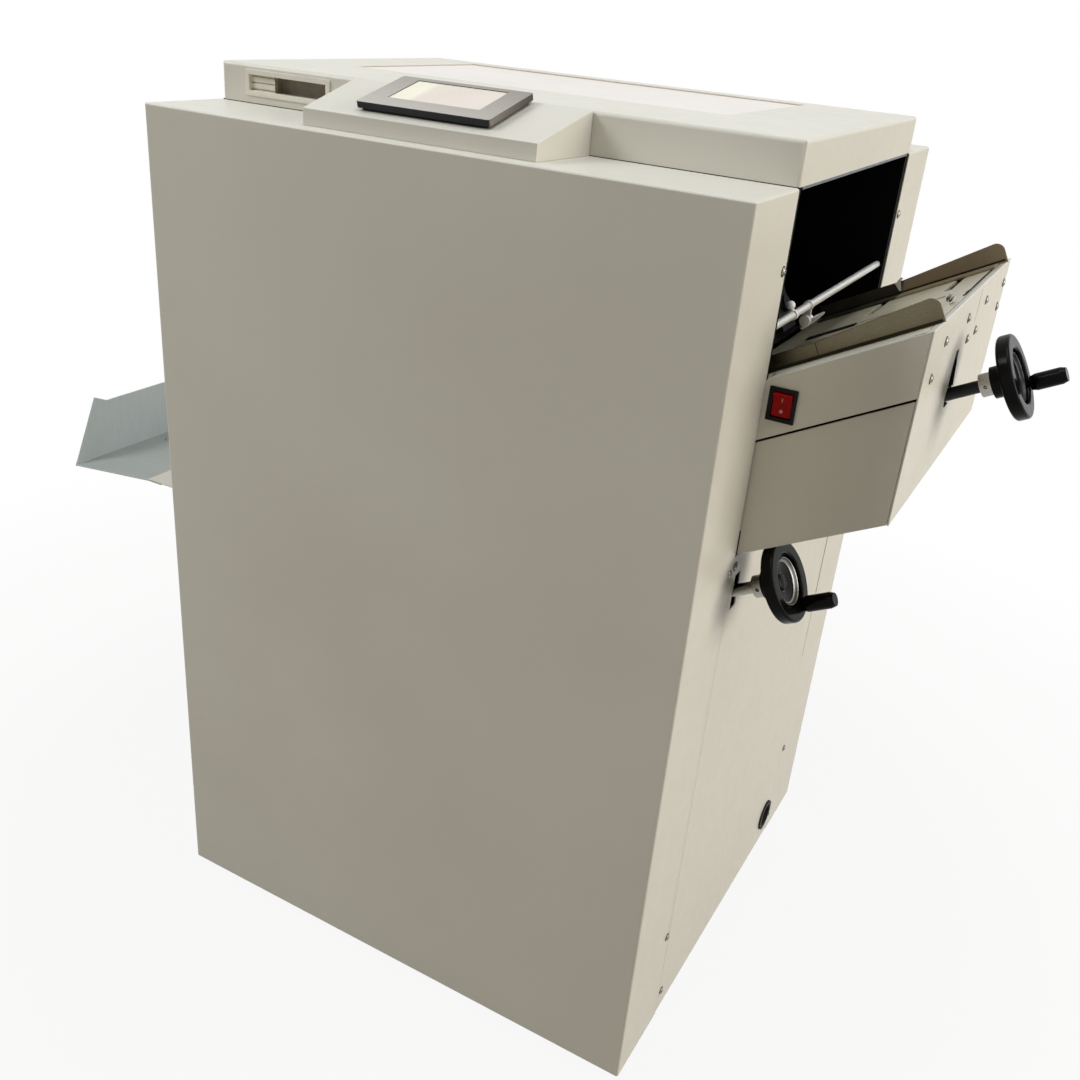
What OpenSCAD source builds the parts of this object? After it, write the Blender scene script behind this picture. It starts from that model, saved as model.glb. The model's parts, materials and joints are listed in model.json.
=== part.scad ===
// Floor-standing wire booklet maker: stitches a stack of sheets, folds it and delivers the booklet.
// Millimetres. Z = 0 is the floor, X runs to the infeed side, Y runs to the back.

/* [Cabinet] */
// Width of cabinet
cab_w = 624; // [612:1:660]
// Depth of cabinet
cab_d = 598; // [590:1:640]
// Height of front and back covers
cover_h = 940; // [930:1:980]
// Depth of front and back covers
cover_depth = 103; // [98:1:104]
// Thickness of sheet metal and moulded walls
sheet = 1.5; // [1.2:0.1:1.8]
// Radius of folded cover edges
edge_r = 2.5; // [2:0.1:3]
// Height of levelling feet
foot_h = 12; // [10:1:20]
// Gap from covers to panels
panel_gap = 0.5; // [0.3:0.1:1]
// Lower edge of side panels
panel_low = 3; // [2:1:5]

/* [Base and side plates] */
// Gap from base plate to covers
base_gap = 4; // [3:1:6]
// Height of base plate's lower face
base_z = 4; // [3:1:6]
// Thickness of base plate
base_t = 8; // [6:1:10]
// Feet from cabinet sides
foot_inset = 70; // [60:1:90]
// Radius of foot pad
foot_r = 22; // [18:1:26]
// Thickness of foot pad and height of foot nut
foot_pad_t = 6; // [5:0.5:7]
// Radius of foot stud
foot_stud_r = 5; // [4:0.5:6]
// Radius across corners of foot nut
foot_nut_r = 9; // [8:0.5:11]
// Gap from covers to side plates
plate_gap = 3; // [2.5:0.5:4]
// Thickness of side plates
plate_t = 6; // [5:0.5:6]
// Width of cover screw tabs
tab_w = 20; // [16:1:24]
// Height of cover screw tabs
tab_h = 30; // [20:1:40]
// Upper cover screws below cover's top
screw_drop = 66; // [50:1:80]
// Height of front cover's lower screws
screw_low = 127; // [100:1:150]
// Height of back cover's lower screws
back_screw_low = 140; // [100:1:150]
// Cover screws from cover's open edge
screw_edge = 7; // [6:0.5:9]
// Radius of tie bar
tie_r = 10; // [8:1:12]
// Tie bars from side faces
tie_inset = 60; // [50:1:70]
// Height of lower tie bars
tie_low = 60; // [50:1:70]
// Height of middle tie bar
tie_mid = 300; // [290:1:310]
// Upper tie bar below cover's top
tie_drop = 60; // [52:1:68]

/* [Screws] */
// Radius of panel screw's shank
screw_r = 2; // [1.5:0.1:2.5]
// Length of panel screw's shank
screw_len = 8; // [6:0.5:9]
// Radius of panel screw's head
screw_head_r = 3.8; // [3.4:0.1:4.2]
// Height of panel screw's head
screw_head_h = 2.2; // [1.8:0.1:2.6]
// Radius of screw head's drive recess
screw_drive_r = 1.4; // [1.2:0.1:1.6]

/* [Side panels] */
// Gap from right panel to infeed apron
right_panel_gap = 2.5; // [1:0.5:6]
// Right panel's upper screws below its edge
right_screw_drop = 12; // [10:1:24]
// Height of lower screws of right panel
right_screw_low = 32; // [28:1:40]
// Cable hole in front of back cover
cable_back = 30; // [28:1:52]
// Height of cable hole
cable_z = 47; // [45:1:60]
// Radius of cable hole
cable_r = 18; // [14:1:20]
// Width of grommet's flange
grommet_lip = 3.5; // [2:0.5:5]
// Wall and flange thickness of grommet
grommet_wall = 2.5; // [2:0.5:4]
// Depth of grommet behind panel
grommet_depth = 4; // [3:0.5:6]
// Width of slot for lower shaft
shaft_slot_w = 15; // [14:0.5:16]
// Height of slot for lower shaft
shaft_slot_h = 38; // [34:1:44]
// Outlet's lower edge above conveyor axes
outlet_rise = 12; // [10:1:14]
// Height of outlet opening
outlet_h = 78; // [60:1:98]
// Outlet opening from covers
outlet_inset = 17; // [15:1:25]

/* [Hood] */
// Hood's left end from left face
hood_short = 4; // [0:1:24]
// Height of hood
hood_h = 37; // [32:1:42]
// Gap under hood
hood_gap = 0.5; // [0.3:0.1:0.8]
// Radius of hood edges
hood_r = 4; // [3:0.5:4]
// Width of hood's lower rims
hood_rim = 13; // [10:1:14]
// Opening from hood's right end
inset_right = 115; // [100:1:130]
// Opening from hood's left end
inset_left = 74; // [60:1:90]
// Frame behind opening
inset_side = 32; // [28:1:40]
// Frame before opening
inset_front = 122; // [110:1:135]
// Overlap of inset lid under hood's frame
inset_lap = 10; // [8:1:12]

/* [Pull handle] */
// Length of pull's frame
pull_w = 108; // [100:1:114]
// Height of pull's frame
pull_h = 25; // [23:0.5:25]
// Pull from hood's left end
pull_left = 32; // [28:1:40]
// Pull above hood's lower edge
pull_low = 7; // [6:0.5:7]
// Width of pull's border
pull_border = 3.5; // [3:0.5:4]
// Thickness of pull's border
pull_proud = 1.5; // [1:0.5:2]
// Depth of pull's pocket
pull_depth = 16; // [12:1:20]
// Length of ribbed block
rib_block_w = 31; // [26:1:36]
// Depth of ribbed block behind border
rib_block_set = 2.5; // [2:0.5:4]
// Number of grooves in block
rib_count = 3; // [2:1:4]
// Width of groove in block
rib_groove = 1.4; // [1:0.1:2]

/* [Hood hinges] */
// Length of hood hinge
hinge_len = 60; // [50:1:80]
// Hinges from hood's ends
hinge_inset = 100; // [80:1:130]
// Radius of hinge knuckle
knuckle_r = 3.2; // [3:0.1:3.4]
// Radius of hinge pin
hinge_pin_r = 1.6; // [1.4:0.1:1.8]
// Width of hinge leaf
leaf_w = 22; // [18:1:24]
// Gap from hinge axis to hood's back
hinge_back = 4.2; // [4:0.1:4.6]
// Hinge axis above cover
hinge_up = 3.6; // [3.5:0.1:4]
// Gap between hinge knuckles
knuckle_gap = 0.4; // [0.3:0.1:0.6]
// Moving leaf above hinge axis
leaf_rise = 5; // [4.5:0.5:6]

/* [Operator panel] */
// Width of housing's front
housing_w = 245; // [220:1:270]
// Flare of housing's sides from front to back
housing_flare = 6; // [4:0.5:8]
// Gap from pull handle to housing
housing_gap = 37; // [20:0.5:50]
// Housing's lip behind cover's front
housing_front = 18; // [15:1:20]
// Height of housing's front lip
housing_lip = 15; // [13:1:18]
// Rise of housing's top from its lip to its back
housing_rise = 22.5; // [20:0.5:24]
// Width of bezel
bezel_w = 140; // [130:1:146]
// Bezel from housing's upper edge
bezel_high = 0.5; // [0.2:0.1:6]
// Bezel's face above housing
bezel_t = 8.5; // [7:0.5:9]
// Height of neck under bezel
bezel_lift = 2.5; // [2:0.5:3.5]
// Step from bezel to its neck
bezel_step = 3; // [2:0.5:4]
// Corner radius of bezel
bezel_r = 3; // [2:0.5:4]
// Bezel from housing's lip
bezel_low = 11.5; // [9:0.5:12]
// Border of bezel at touch screen's sides
screen_side = 22; // [20:0.5:24]
// Border of bezel below touch screen
screen_low = 19.5; // [18:0.5:21]
// Border of bezel above touch screen
screen_high = 7; // [6:0.5:8]
// Depth of recess that holds touch screen
screen_recess = 1.6; // [1.2:0.1:2]
// Thickness of touch screen
screen_t = 1; // [0.8:0.1:1.1]
// Step in from bezel's sides to touch panel's body
hmi_side = 9; // [7:0.5:12]
// Step in from bezel's edges to touch panel's body
hmi_edge = 16; // [15:0.5:18]
// Touch panel's body below housing's top
hmi_body_t = 11; // [9:0.5:12]

/* [Infeed] */
// Slope of paper path
slope_deg = 28.5; // [28:0.1:29]
// Paper path below cover's top, at right face
table_drop = 161; // [158:1:164]
// Reach of infeed past right face
infeed_reach = 129; // [125:1:135]
// Height of infeed's upper side panels
side_h = 57; // [55:0.5:59]
// Gap from upper side panels to apron
seam_gap = 2.5; // [2:0.1:3]
// Height of infeed apron
apron_h = 113; // [110:1:114]
// Step from upper side panels to apron
apron_step = 1.5; // [1.5:0.1:2]
// Length of infeed sides in cabinet
infeed_root = 25; // [20:1:30]
// Width of side panels' lips
lip_w = 22; // [20:1:24]
// Width of end plate's lip
end_lip = 5; // [4:0.5:6]
// Gap from lips to table
table_gap = 1; // [0.6:0.1:1.5]
// Thickness of table and bed plates
table_t = 3; // [2.5:0.1:3]
// Length of table in cabinet
table_in = 68; // [66:1:70]
// Width of table's long slots
long_slot_w = 8; // [6:1:10]
// Table's long slots from centre line
long_slot_y = 22; // [18:1:24]
// Gap from long slots to table's outer end
long_slot_end = 28; // [20:1:34]
// Upper row of end plate screws below edge
end_screw_drop = 24; // [20:1:28]
// Step down to lower row of end plate screws
end_screw_step = 25; // [22:1:28]
// Upper end plate screws from front edge, negative from rear edge
end_screw_top = [71, 176, -121, -16];
// Lower end plate screws from front edge, negative from rear edge
end_screw_bottom = [36, 200, -149, -20];
// Width of slit above shaft
slit_w = 8; // [5:0.5:9]
// Height of slit
slit_h = 42; // [36:1:48]

/* [Paper guides] */
// Guide's face from infeed's side
guide_inset = 34.5; // [34:0.5:38]
// Thickness of guide
guide_t = 2; // [1.5:0.1:2]
// Guide's outer end above table
guide_h = 22.5; // [20:0.5:25]
// Guide's level part above table
guide_low_h = 15; // [12:1:18]
// Length of guides past table's outer end
guide_over = 10; // [7:0.5:11]
// Start of guide's rise along slope
guide_step = 38; // [34:1:44]
// Inner end of guides along slope
guide_in = -56; // [-58:1:-50]
// Radius of guide's outer corner
guide_r = 9; // [7:0.5:11]
// Width of guide's foot
guide_foot = 24; // [20:1:26]
// Gap from guide to table
guide_lift = 0.3; // [0.3:0.05:0.5]
// Inward travel of guide
guide_travel = 80; // [60:1:82]
// Guide shanks along slope
shank_low = 22; // [20:1:26]
// Outer guide shanks from table's outer end
shank_end = 35; // [33:1:41]
// Width of guide shank
shank_w = 8; // [7:0.5:9]
// Shank behind guide's face
shank_set = 11; // [10:0.5:13]
// Gap from shank to its slot
shank_gap = 0.5; // [0.4:0.1:0.8]
// Radius of guide's clamp knob
clamp_r = 9; // [8:0.5:9.5]
// Height of guide's clamp knob
clamp_h = 14; // [10:1:16]

/* [Hold-down rod] */
// Rod inside right face
rod_in = 8; // [7.5:0.5:9]
// Rod above paper path
rod_rise = 41; // [38:1:45]
// Radius of rod
rod_r = 3.6; // [3:0.05:3.7]
// Rod's free end from rear side plate
rod_short = 3; // [2:0.5:6]
// Lever from front side plate
lever_y = 66.5; // [60:0.5:70]
// Radius of lever's stem
lever_r = 1.5; // [1.2:0.1:2]
// Lever's ball from rod's axis
lever_up = 9; // [8.6:0.1:9.2]
// Lean of lever
lever_lean = 22; // [15:1:28]
// Radius of lever's ball
lever_ball_r = 4; // [3.6:0.1:4.5]
// Hold-down arm from front side plate
arm_y = 112; // [108:1:114]
// Length of hold-down arm
arm_len = 14.5; // [13.5:0.5:16]
// Width of arm's and lever's rings
arm_w = 4; // [3:0.5:6]
// Radius of arm's and lever's rings
arm_r = 4.8; // [4.5:0.1:5.5]
// Radius of arm's roller
arm_roller_r = 5; // [4.5:0.1:5.5]
// Width of arm's roller
arm_roller_w = 7; // [6:0.5:8]

/* [Power switch] */
// Width of switch bezel
switch_w = 25.5; // [25:0.1:26]
// Height of switch bezel
switch_h = 31; // [30:0.1:32]
// Switch from right face
switch_x = 5; // [4:0.5:8]
// Switch's lower edge below paper path
switch_drop = 35; // [34:0.5:38]
// Border of switch bezel
switch_border = 3.6; // [3.2:0.1:4]
// Thickness of switch bezel in front of panel
switch_proud = 2; // [1.5:0.1:2.5]
// Depth of switch body behind panel
switch_depth = 22; // [18:1:26]
// Step from bezel to switch body
switch_step = 1.6; // [1.4:0.1:1.8]
// Gap from rocker to bezel
rocker_gap = 0.4; // [0.3:0.05:0.5]
// Tilt of rocker at rest
rocker_tilt = 8; // [6:0.5:9]
// Rocker's ends above its pivot
rocker_rise = 5; // [4.5:0.1:5.5]
// Rocker's middle above its pivot
rocker_dip = 3; // [2.5:0.1:3.5]

/* [Handwheels] */
// Rim radius of handwheel
wheel_r = 40; // [36:0.5:42]
// Width of rim along shaft
rim_w = 12.5; // [12:0.5:15]
// Thickness of rim
rim_t = 14; // [13:0.5:15]
// Radius of rim's edges
rim_r = 2.8; // [2:0.1:2.9]
// Hub radius of handwheel
hub_r = 15; // [14:0.5:16]
// Hub length of handwheel
hub_len = 15; // [14:0.5:17]
// Thickness of handwheel's web
web_t = 5; // [4:0.5:6]
// Rim's middle in front of hub's back
rim_front = 19; // [18:0.5:20]
// Radius from shaft to grip
grip_arm = 30; // [29:0.5:31]
// Length of grip
grip_len = 32; // [28:0.5:34]
// Largest radius of grip
grip_r = 8; // [7.5:0.1:8.5]
// Radius of grip at its ends and of its boss
grip_end_r = 6.5; // [6:0.1:7]
// Length of grip's tapered ends
grip_taper = 5; // [4:0.5:7]
// Radius of grip's axle
axle_r = 3; // [2.5:0.1:3.2]
// Radius of head on grip's axle
axle_head_r = 4.6; // [4.2:0.1:4.8]
// Depth of axle head's seat in grip
axle_seat = 4; // [3:0.5:5]
// Gap from grip to its boss
grip_gap = 0.6; // [0.4:0.1:1]
// Radius of adjusting shafts
shaft_r = 6; // [5.5:0.1:6.2]
// Length of set collars
collar_len = 11; // [10:0.5:13]
// Radius of set collars
collar_r = 11; // [10:0.5:12]
// Radius of set screw hole in collar
set_screw_r = 2; // [1.6:0.1:2.4]
// Radius of end washers on shafts
washer_r = 9; // [8:0.5:10]
// Thickness of end washers on shafts
washer_t = 1.5; // [1:0.1:2]
// Upper shaft from centre line
upper_y = -38; // [-40:0.5:-36]
// Upper shaft below table
upper_drop = 83; // [82:0.5:84]
// Length of upper shaft outside end plate
upper_out = 43; // [40:0.5:46]
// Angle of upper grip about its shaft
upper_grip_deg = 332; // [325:1:340]
// Lower shaft from front side plate
lower_inset = 10; // [9:0.5:11]
// Gap from lower handwheel to infeed apron
lower_gap = 0.4; // [0.3:0.1:2]
// Length of lower shaft outside panel
lower_out = 33; // [31:0.5:37]
// Angle of lower grip about its shaft
lower_grip_deg = 287; // [275:1:295]

/* [Stops] */
// Place of stitch line along slope
stitch_at = -80; // [-81:1:-79]
// From stitch line to stop at rest
stop_reach = 150; // [149:1:151]
// Travel of each stop either way from rest
stop_travel = 45; // [40:1:45]
// Travel of stop for one handwheel turn
screw_lead = 10; // [8:1:12]
// From stitch line to fold line
fold_reach = 245; // [244:1:248]
// Width of stop finger
finger_w = 8; // [7:0.5:8]
// Stop fingers from centre line
finger_y = 60; // [58:1:62]
// Stop fingers above paper path
finger_h = 16; // [14:1:18]
// Half length of stop's blocks
stop_half = 10; // [9:0.5:10]
// Half height of stop's blocks
stop_block = 14; // [12:0.5:14]
// Half thickness of stop's bars along slope
stop_bar = 2.5; // [2.5:0.5:4]
// Half width of lower stop's blocks
fold_block_y = 8; // [7:0.5:8.5]
// Lower stop's cross bar below path
fold_bar_top = 22; // [20:0.5:24]
// Height of lower stop's cross bar
fold_bar_h = 12; // [10:0.5:14]
// Thickness of bearing bars along slope
bearing_t = 12; // [10:0.5:12]

/* [Stitcher] */
// Stitch heads from centre line
head_y = 60; // [56:1:62]
// Half width of stitch head
head_half_y = 21; // [18:0.5:22]
// Half length of stitch head
head_half_a = 20; // [18:0.5:22]
// Lower face of stitch heads above path
head_low = 12; // [11:0.5:14]
// Upper face of stitch heads above path
head_high = 130; // [125:1:132]
// Radius of driver plungers
plunger_r = 7; // [6.5:0.1:7.5]
// Lower tip of drivers above path at rest
driver_low = 10; // [9.8:0.1:10.4]
// Width of driver blade
driver_w = 11; // [9:0.5:11.5]
// Thickness of driver blade
driver_t = 3; // [2:0.5:4]
// Lower face of drivers' cross bar above path
driver_bar_low = 150; // [148:1:152]
// Height of drivers' cross bar
driver_bar_h = 15; // [12:1:18]
// Half width of drivers' cross bar along slope
driver_bar_a = 10; // [9:0.5:11]
// Stroke of drivers
driver_stroke = 8.5; // [7:0.1:8.8]
// Lower face of stitch beam above path
beam_low = 60; // [55:1:65]
// Height of stitch beam
beam_h = 50; // [45:1:55]
// Thickness of stitch beam along slope
beam_t = 24; // [20:1:26]
// Half width of stitch actuator
actuator_half = 18; // [16:0.5:20]
// Radius of stitch actuator's rod
actuator_rod_r = 5; // [4.5:0.1:5.5]
// Radius of wire feed wheels
feed_wheel_r = 9; // [8:0.5:10]
// Thickness of wire feed wheels
feed_wheel_t = 6; // [5:0.5:8]
// Half length of clincher blocks
clinch_half_a = 8; // [7:0.5:9]
// Half width of clincher blocks
clinch_half_y = 15; // [12:0.5:18]
// Clinchers' tops below path
clinch_top = 1; // [0.8:0.1:1.5]
// Clincher bar's top below path
clinch_bar_top = 15; // [14:0.5:18]
// Height of clincher bar
clinch_bar_h = 28; // [24:1:30]
// Half length of gap for clinchers
clinch_gap = 12; // [11:0.5:12]
// Spool shaft from right face
spool_x = 290; // [285:1:300]
// Spool shaft below cover's top
spool_drop = 90; // [86:1:94]
// Radius of spool shaft
spool_shaft_r = 8; // [7:0.5:9]
// Radius of spool flange
spool_r = 60; // [55:1:64]
// Radius of wire wound on spool
wire_r = 52; // [40:1:54]
// Width of spool
spool_w = 50; // [44:1:52]
// Thickness of spool flange
spool_flange = 3; // [2.5:0.5:4]

/* [Folder] */
// Radius of fold rollers
fold_r = 20; // [19.5:0.1:20.2]
// Gap between fold rollers
nip = 0.6; // [0.5:0.05:0.8]
// Fold rollers' axes below path
fold_drop = 40; // [39:0.5:41]
// Radius of fold roller shafts
fold_shaft_r = 7.5; // [7:0.1:8]
// Gap from fold rollers to side plates
roller_end_gap = 22; // [20:1:26]
// Half length of bed's gap at fold line
fold_slot = 15; // [14:0.5:16]
// Thickness of fold knife
knife_t = 1.5; // [1.2:0.1:1.6]
// Knife's edge above path at rest
knife_low = 6; // [5:0.5:7]
// Stroke of fold knife
knife_stroke = 39; // [34:0.5:39]
// Knife carrier above path at rest
carrier_low = 70; // [69:1:74]
// Height of knife carrier
carrier_h = 18; // [16:1:20]
// Half thickness of knife carrier along slope
carrier_half = 11; // [10:0.5:12]
// Gap between side plates and fold knife and conveyor rollers
inner_gap = 37; // [34:1:42]
// Knife posts from side plates
post_inset = 27; // [25:1:31]
// Radius of knife posts and of actuator's rod
post_r = 6; // [5.5:0.1:6.5]
// Lower end of knife posts above path
post_low = 25; // [22:1:28]
// Knife bridge above path
bridge_low = 150; // [145:1:155]
// Height of knife bridge
bridge_h = 20; // [18:1:24]
// Half width of knife bridge along slope
bridge_half = 20; // [18:1:22]
// Half width of knife actuator
ram_half = 25; // [22:0.5:27]
// Knife actuator above its bridge
ram_h = 110; // [100:1:120]
// Length of actuator's rod in its body at rest
ram_rod_in = 60; // [55:1:64]

/* [Drive] */
// Number of teeth on fold gear
gear_teeth = 20; // [18:2:22]
// Pressure angle of fold gears
gear_pressure = 20; // [18:0.5:22]
// Addendum of gear teeth, in modules
gear_addendum = 0.9; // [0.8:0.05:0.95]
// Dedendum of gear teeth, in modules
gear_dedendum = 1.2; // [1.15:0.05:1.25]
// Width of fold gears and belt pulleys
gear_w = 12; // [10:0.5:13]
// Play between gear teeth
gear_play = 0.4; // [0.3:0.05:0.5]
// Gap from front side plate to gears
gear_out = 7; // [6:0.5:8]
// Radius of belt pulleys
pulley_r = 22; // [20:0.5:23]
// Gap from gears to pulleys
pulley_gap = 2; // [2:0.5:3]
// Thickness of belts
belt_t = 2; // [1.5:0.1:2.5]
// Gap from belt to its pulleys
belt_gap = 0.3; // [0.3:0.05:0.4]
// Height of motor shaft
motor_z = 130; // [120:1:150]
// Width of motor's gearbox
gearbox_w = 90; // [80:1:100]
// Length of motor's gearbox
gearbox_len = 60; // [50:1:70]
// Radius of motor
motor_r = 42; // [38:0.5:44]
// Length of motor behind its gearbox
motor_len = 120; // [100:1:140]
// Radius of motor shaft
motor_shaft_r = 7; // [6:0.1:8]
// Width of motor shaft's hole in side plate
motor_hole_r = 12; // [10:0.5:14]
// Width of control box
control_w = 250; // [220:1:280]
// Height of control box
control_h = 350; // [300:1:380]
// Depth of control box
control_d = 78; // [60:1:80]
// Height of control box's lower edge
control_z = 250; // [220:1:280]
// Control box from right face
control_x = 200; // [180:1:220]

/* [Delivery] */
// Conveyor's drive roller from right face
conveyor_in_x = 150; // [148:1:152]
// Conveyor's end roller from left face
conveyor_out_x = 34; // [32:1:40]
// Conveyor rollers' axes below paper path
conveyor_drop = 329; // [328:1:331]
// Radius of conveyor rollers
conveyor_r = 18; // [17.5:0.1:18.5]
// Radius of conveyor shafts
conveyor_shaft_r = 6; // [5.5:0.1:6.2]
// Conveyor belts from centre line
conveyor_belt_y = 70; // [60:1:80]
// Width of conveyor belt
conveyor_belt_w = 40; // [30:1:44]
// Deflector above fold line
deflector_at = 20; // [19:0.5:20.5]
// Upper edge of deflector below path
deflector_top = 66; // [65:0.5:68]
// Length of deflector's straight part
deflector_len = 84; // [80:1:88]
// Length of deflector's bent end
deflector_end = 18; // [15:1:19]
// Bend of deflector's end
deflector_deg = 22; // [18:1:25]
// Chute's end from left face
chute_reach = 154; // [148:1:160]
// Drop of chute
chute_drop = 1.5; // [1:0.5:4]
// Height of chute's flange on left panel
chute_flange = 60; // [50:1:70]
// Gussets from chute's sides
gusset_inset = 35; // [30:1:45]
// Length of gussets
gusset_len = 100; // [80:1:108]
// Tray's foot from left face
tray_reach = 290; // [285:1:300]
// Drop of tray's floor
tray_drop = 15.5; // [12:0.5:18]
// Length of tray's floor under chute
tray_lap = 22; // [18:1:30]
// Height of tray's end wall
tray_wall_h = 74; // [68:1:80]
// Rise of end wall's ears above its edge
tray_ear_h = 8.5; // [6:0.5:10]
// Width of end wall's ears
tray_ear_w = 19; // [15:1:24]
// Outward lean of tray's end wall
tray_lean = 5; // [4:0.1:6]
// Slant of tray's end wall at each corner
tray_slant = 46; // [36:1:50]
// Tray's edges from covers
tray_inset = 2; // [2:0.5:6]

/* [Fits] */
// Radial clearance of running fits
run_fit = 0.05; // [0.03:0.01:0.08]

/* [Hidden] */
$fn = 48;
eps = 0.01;
slope_cos = cos(slope_deg);
slope_sin = sin(slope_deg);
mid_y = cab_d / 2;
// Outer face of front side plate, and half space between side plates
plate_y = cover_depth + plate_gap;
inner = mid_y - plate_y - plate_t;
// Half distance between covers
half = mid_y - cover_depth;
plate_top = cover_h + hood_gap;
screw_high = cover_h - screw_drop;
tab_t = 2 * sheet;
// Front edge of back cover, back of rear side plate and inside of front one
back_edge = cab_d - cover_depth;
rear_y = cab_d - plate_y;
inner_y = plate_y + plate_t;
table_z = cover_h - table_drop;
apron_low = side_h + seam_gap + apron_h;
right_panel_h = table_z - apron_low - right_panel_gap;
right_screw_high = right_panel_h - right_screw_drop;
hood_w = cab_w - hood_short;
post_y = inner - post_inset;
lower_y = lower_inset - inner;
lower_drop = apron_low * slope_cos + wheel_r + lower_gap;
guide_y = half - guide_inset;
conveyor_z = table_z - conveyor_drop;
outlet_low = conveyor_z + outlet_rise;
base_top = base_z + base_t;
// Place of a point of sloping frame in cabinet frame
function cab_x(a, p) = a * slope_cos - p * slope_sin;
function cab_z(a, p) = table_z + a * slope_sin + p * slope_cos;
function along_at(x, p) = (x + p * slope_sin) / slope_cos;
// Inside of end plate, and outer end of table, guides and shanks
infeed_end = infeed_reach - sheet;
lip_end = along_at(infeed_end, 0) - end_lip - table_gap;
guide_out = lip_end + guide_over;
shank_high = lip_end - shank_end;
// Where shafts cross end plate and right panel
upper_face = along_at(infeed_reach, -upper_drop);
lower_face = along_at(0, -lower_drop);
lower_exit_z = cab_z(lower_face, -lower_drop);
rim_end = rim_front + rim_w / 2;
grip_start = rim_end + grip_gap;
grip_tip = grip_start + grip_len;
fold_at = stitch_at - fold_reach;
stitch_stop_at = stitch_at - stop_reach;
fold_stop_at = fold_at - stop_reach;
gear_step = 2 * fold_r + nip;
roller_a = fold_at - gear_step / 2;
roller_b = fold_at + gear_step / 2;
bed_end = fold_stop_at - stop_travel - 4 * stop_half;
// Hanger of upper shaft under table
hanger_at = (shank_low + shank_high) / 2;
guide_slot_out = guide_y - shank_set + shank_w / 2 + shank_gap;
guide_slot_in = guide_slot_out - guide_travel - shank_w - 2 * shank_gap;
bar_low = stitch_stop_at - stop_travel - stop_half - bearing_t / 4;
bar_high = stitch_stop_at + stop_travel + stop_half + bearing_t;
// Cross bars between side plates, as cabinet x and height
tie_places = [[-tie_inset, tie_low], [tie_inset - cab_w, tie_low],
  [-tie_inset, tie_mid], [tie_inset - cab_w, cover_h - tie_drop]];
a_place = [cab_x(roller_a, -fold_drop), cab_z(roller_a, -fold_drop)];
b_place = [cab_x(roller_b, -fold_drop), cab_z(roller_b, -fold_drop)];
conveyor_in = [-conveyor_in_x, conveyor_z];
conveyor_out = [conveyor_out_x - cab_w, conveyor_z];
motor_place = [a_place[0], motor_z];
spool_place = [-spool_x, cover_h - spool_drop];
rod_place = [-rod_in, table_z + rod_rise];
// Planes of gears and of two belts in front of side plate
gear_y1 = plate_y - gear_out;
gear_y0 = gear_y1 - gear_w;
belt_a_y1 = gear_y0 - pulley_gap;
belt_a_y0 = belt_a_y1 - gear_w;
belt_b_y1 = belt_a_y0 - pulley_gap;
belt_b_y0 = belt_b_y1 - gear_w;
// The outlet chute and tray
chute_z = conveyor_z + conveyor_r + belt_gap;
chute_end_z = chute_z - chute_drop;
tray_y0 = cover_depth + tray_inset;
tray_y1 = cab_d - tray_y0;
tray_foot_z = chute_end_z - sheet - tray_drop;
// Reach of grip and of tray past cabinet, which centre part
grip_p = grip_arm * sin(upper_grip_deg) - upper_drop;
grip_tip_a = upper_face + upper_out + grip_tip;
reach_right = cab_x(grip_tip_a, grip_p) + grip_end_r * slope_sin;
reach_left = tray_reach + (tray_wall_h + tray_ear_h) * sin(tray_lean);
face_x = (cab_w + reach_left - reach_right) / 2;
// Slope of operator panel's housing
housing_back = cover_depth - panel_gap;
housing_deg = atan2(housing_rise, housing_back - housing_front);
housing_left = pull_left + pull_w + housing_gap - hood_w;
housing_end = housing_left + housing_w;
bezel_d = norm([housing_back - housing_front, housing_rise]) - bezel_low - bezel_high;
switch_z = table_z - switch_drop;
cable_place = [back_edge - cable_back, cable_z];

paint = [0.80, 0.78, 0.72];
tray_grey = [0.60, 0.62, 0.64];
steel = [0.62, 0.62, 0.62];
black_steel = [0.09, 0.09, 0.10];
black_plastic = [0.04, 0.04, 0.045];
ivory = [0.82, 0.80, 0.70];
rubber = [0.07, 0.07, 0.07];
white_plastic = [0.90, 0.90, 0.88];
silver_plastic = [0.55, 0.56, 0.57];
screen_cream = [0.86, 0.85, 0.78];
table_cream = [0.78, 0.78, 0.74];
switch_red = [0.75, 0.05, 0.05];
head_grey = [0.35, 0.36, 0.38];
roller_black = [0.20, 0.20, 0.21];
motor_grey = [0.25, 0.27, 0.30];
box_grey = [0.70, 0.71, 0.72];

// Cabinet frame: origin at lower front corner of right face
module cab() {
  translate([face_x, -mid_y, foot_h]) children();
}

// Sloping frame: x along paper path, y from centre line, z square to path
module slope() {
  cab() translate([0, mid_y, table_z]) rotate([0, -slope_deg, 0]) children();
}

// Shaft frame: z along a shaft that lies along slope
module on_shaft(y, p) {
  slope() translate([0, y, p]) rotate([0, 90, 0]) children();
}

// Mirrors a cabinet piece to back
module to_back() {
  translate([0, cab_d, 0]) mirror([0, 1, 0]) children();
}

module block(low, high) {
  translate(low) cube(high - low);
}

module bar_y(place, r, y0, y1) {
  translate([place[0], y0, place[1]]) rotate([-90, 0, 0]) cylinder(r = r, h = y1 - y0);
}

module bar_x(place, r, x0, x1) {
  translate([x0, place[0], place[1]]) rotate([0, 90, 0]) cylinder(r = r, h = x1 - x0);
}

module bar_z(place, r, z0, z1) {
  translate([place[0], place[1], z0]) cylinder(r = r, h = z1 - z0);
}

module profile_xz(y0, y1) {
  translate([0, y1, 0]) rotate([90, 0, 0]) linear_extrude(y1 - y0) children();
}

module profile_yz(x0, x1) {
  translate([x0, 0, 0]) rotate([90, 0, 90]) linear_extrude(x1 - x0) children();
}

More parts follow.
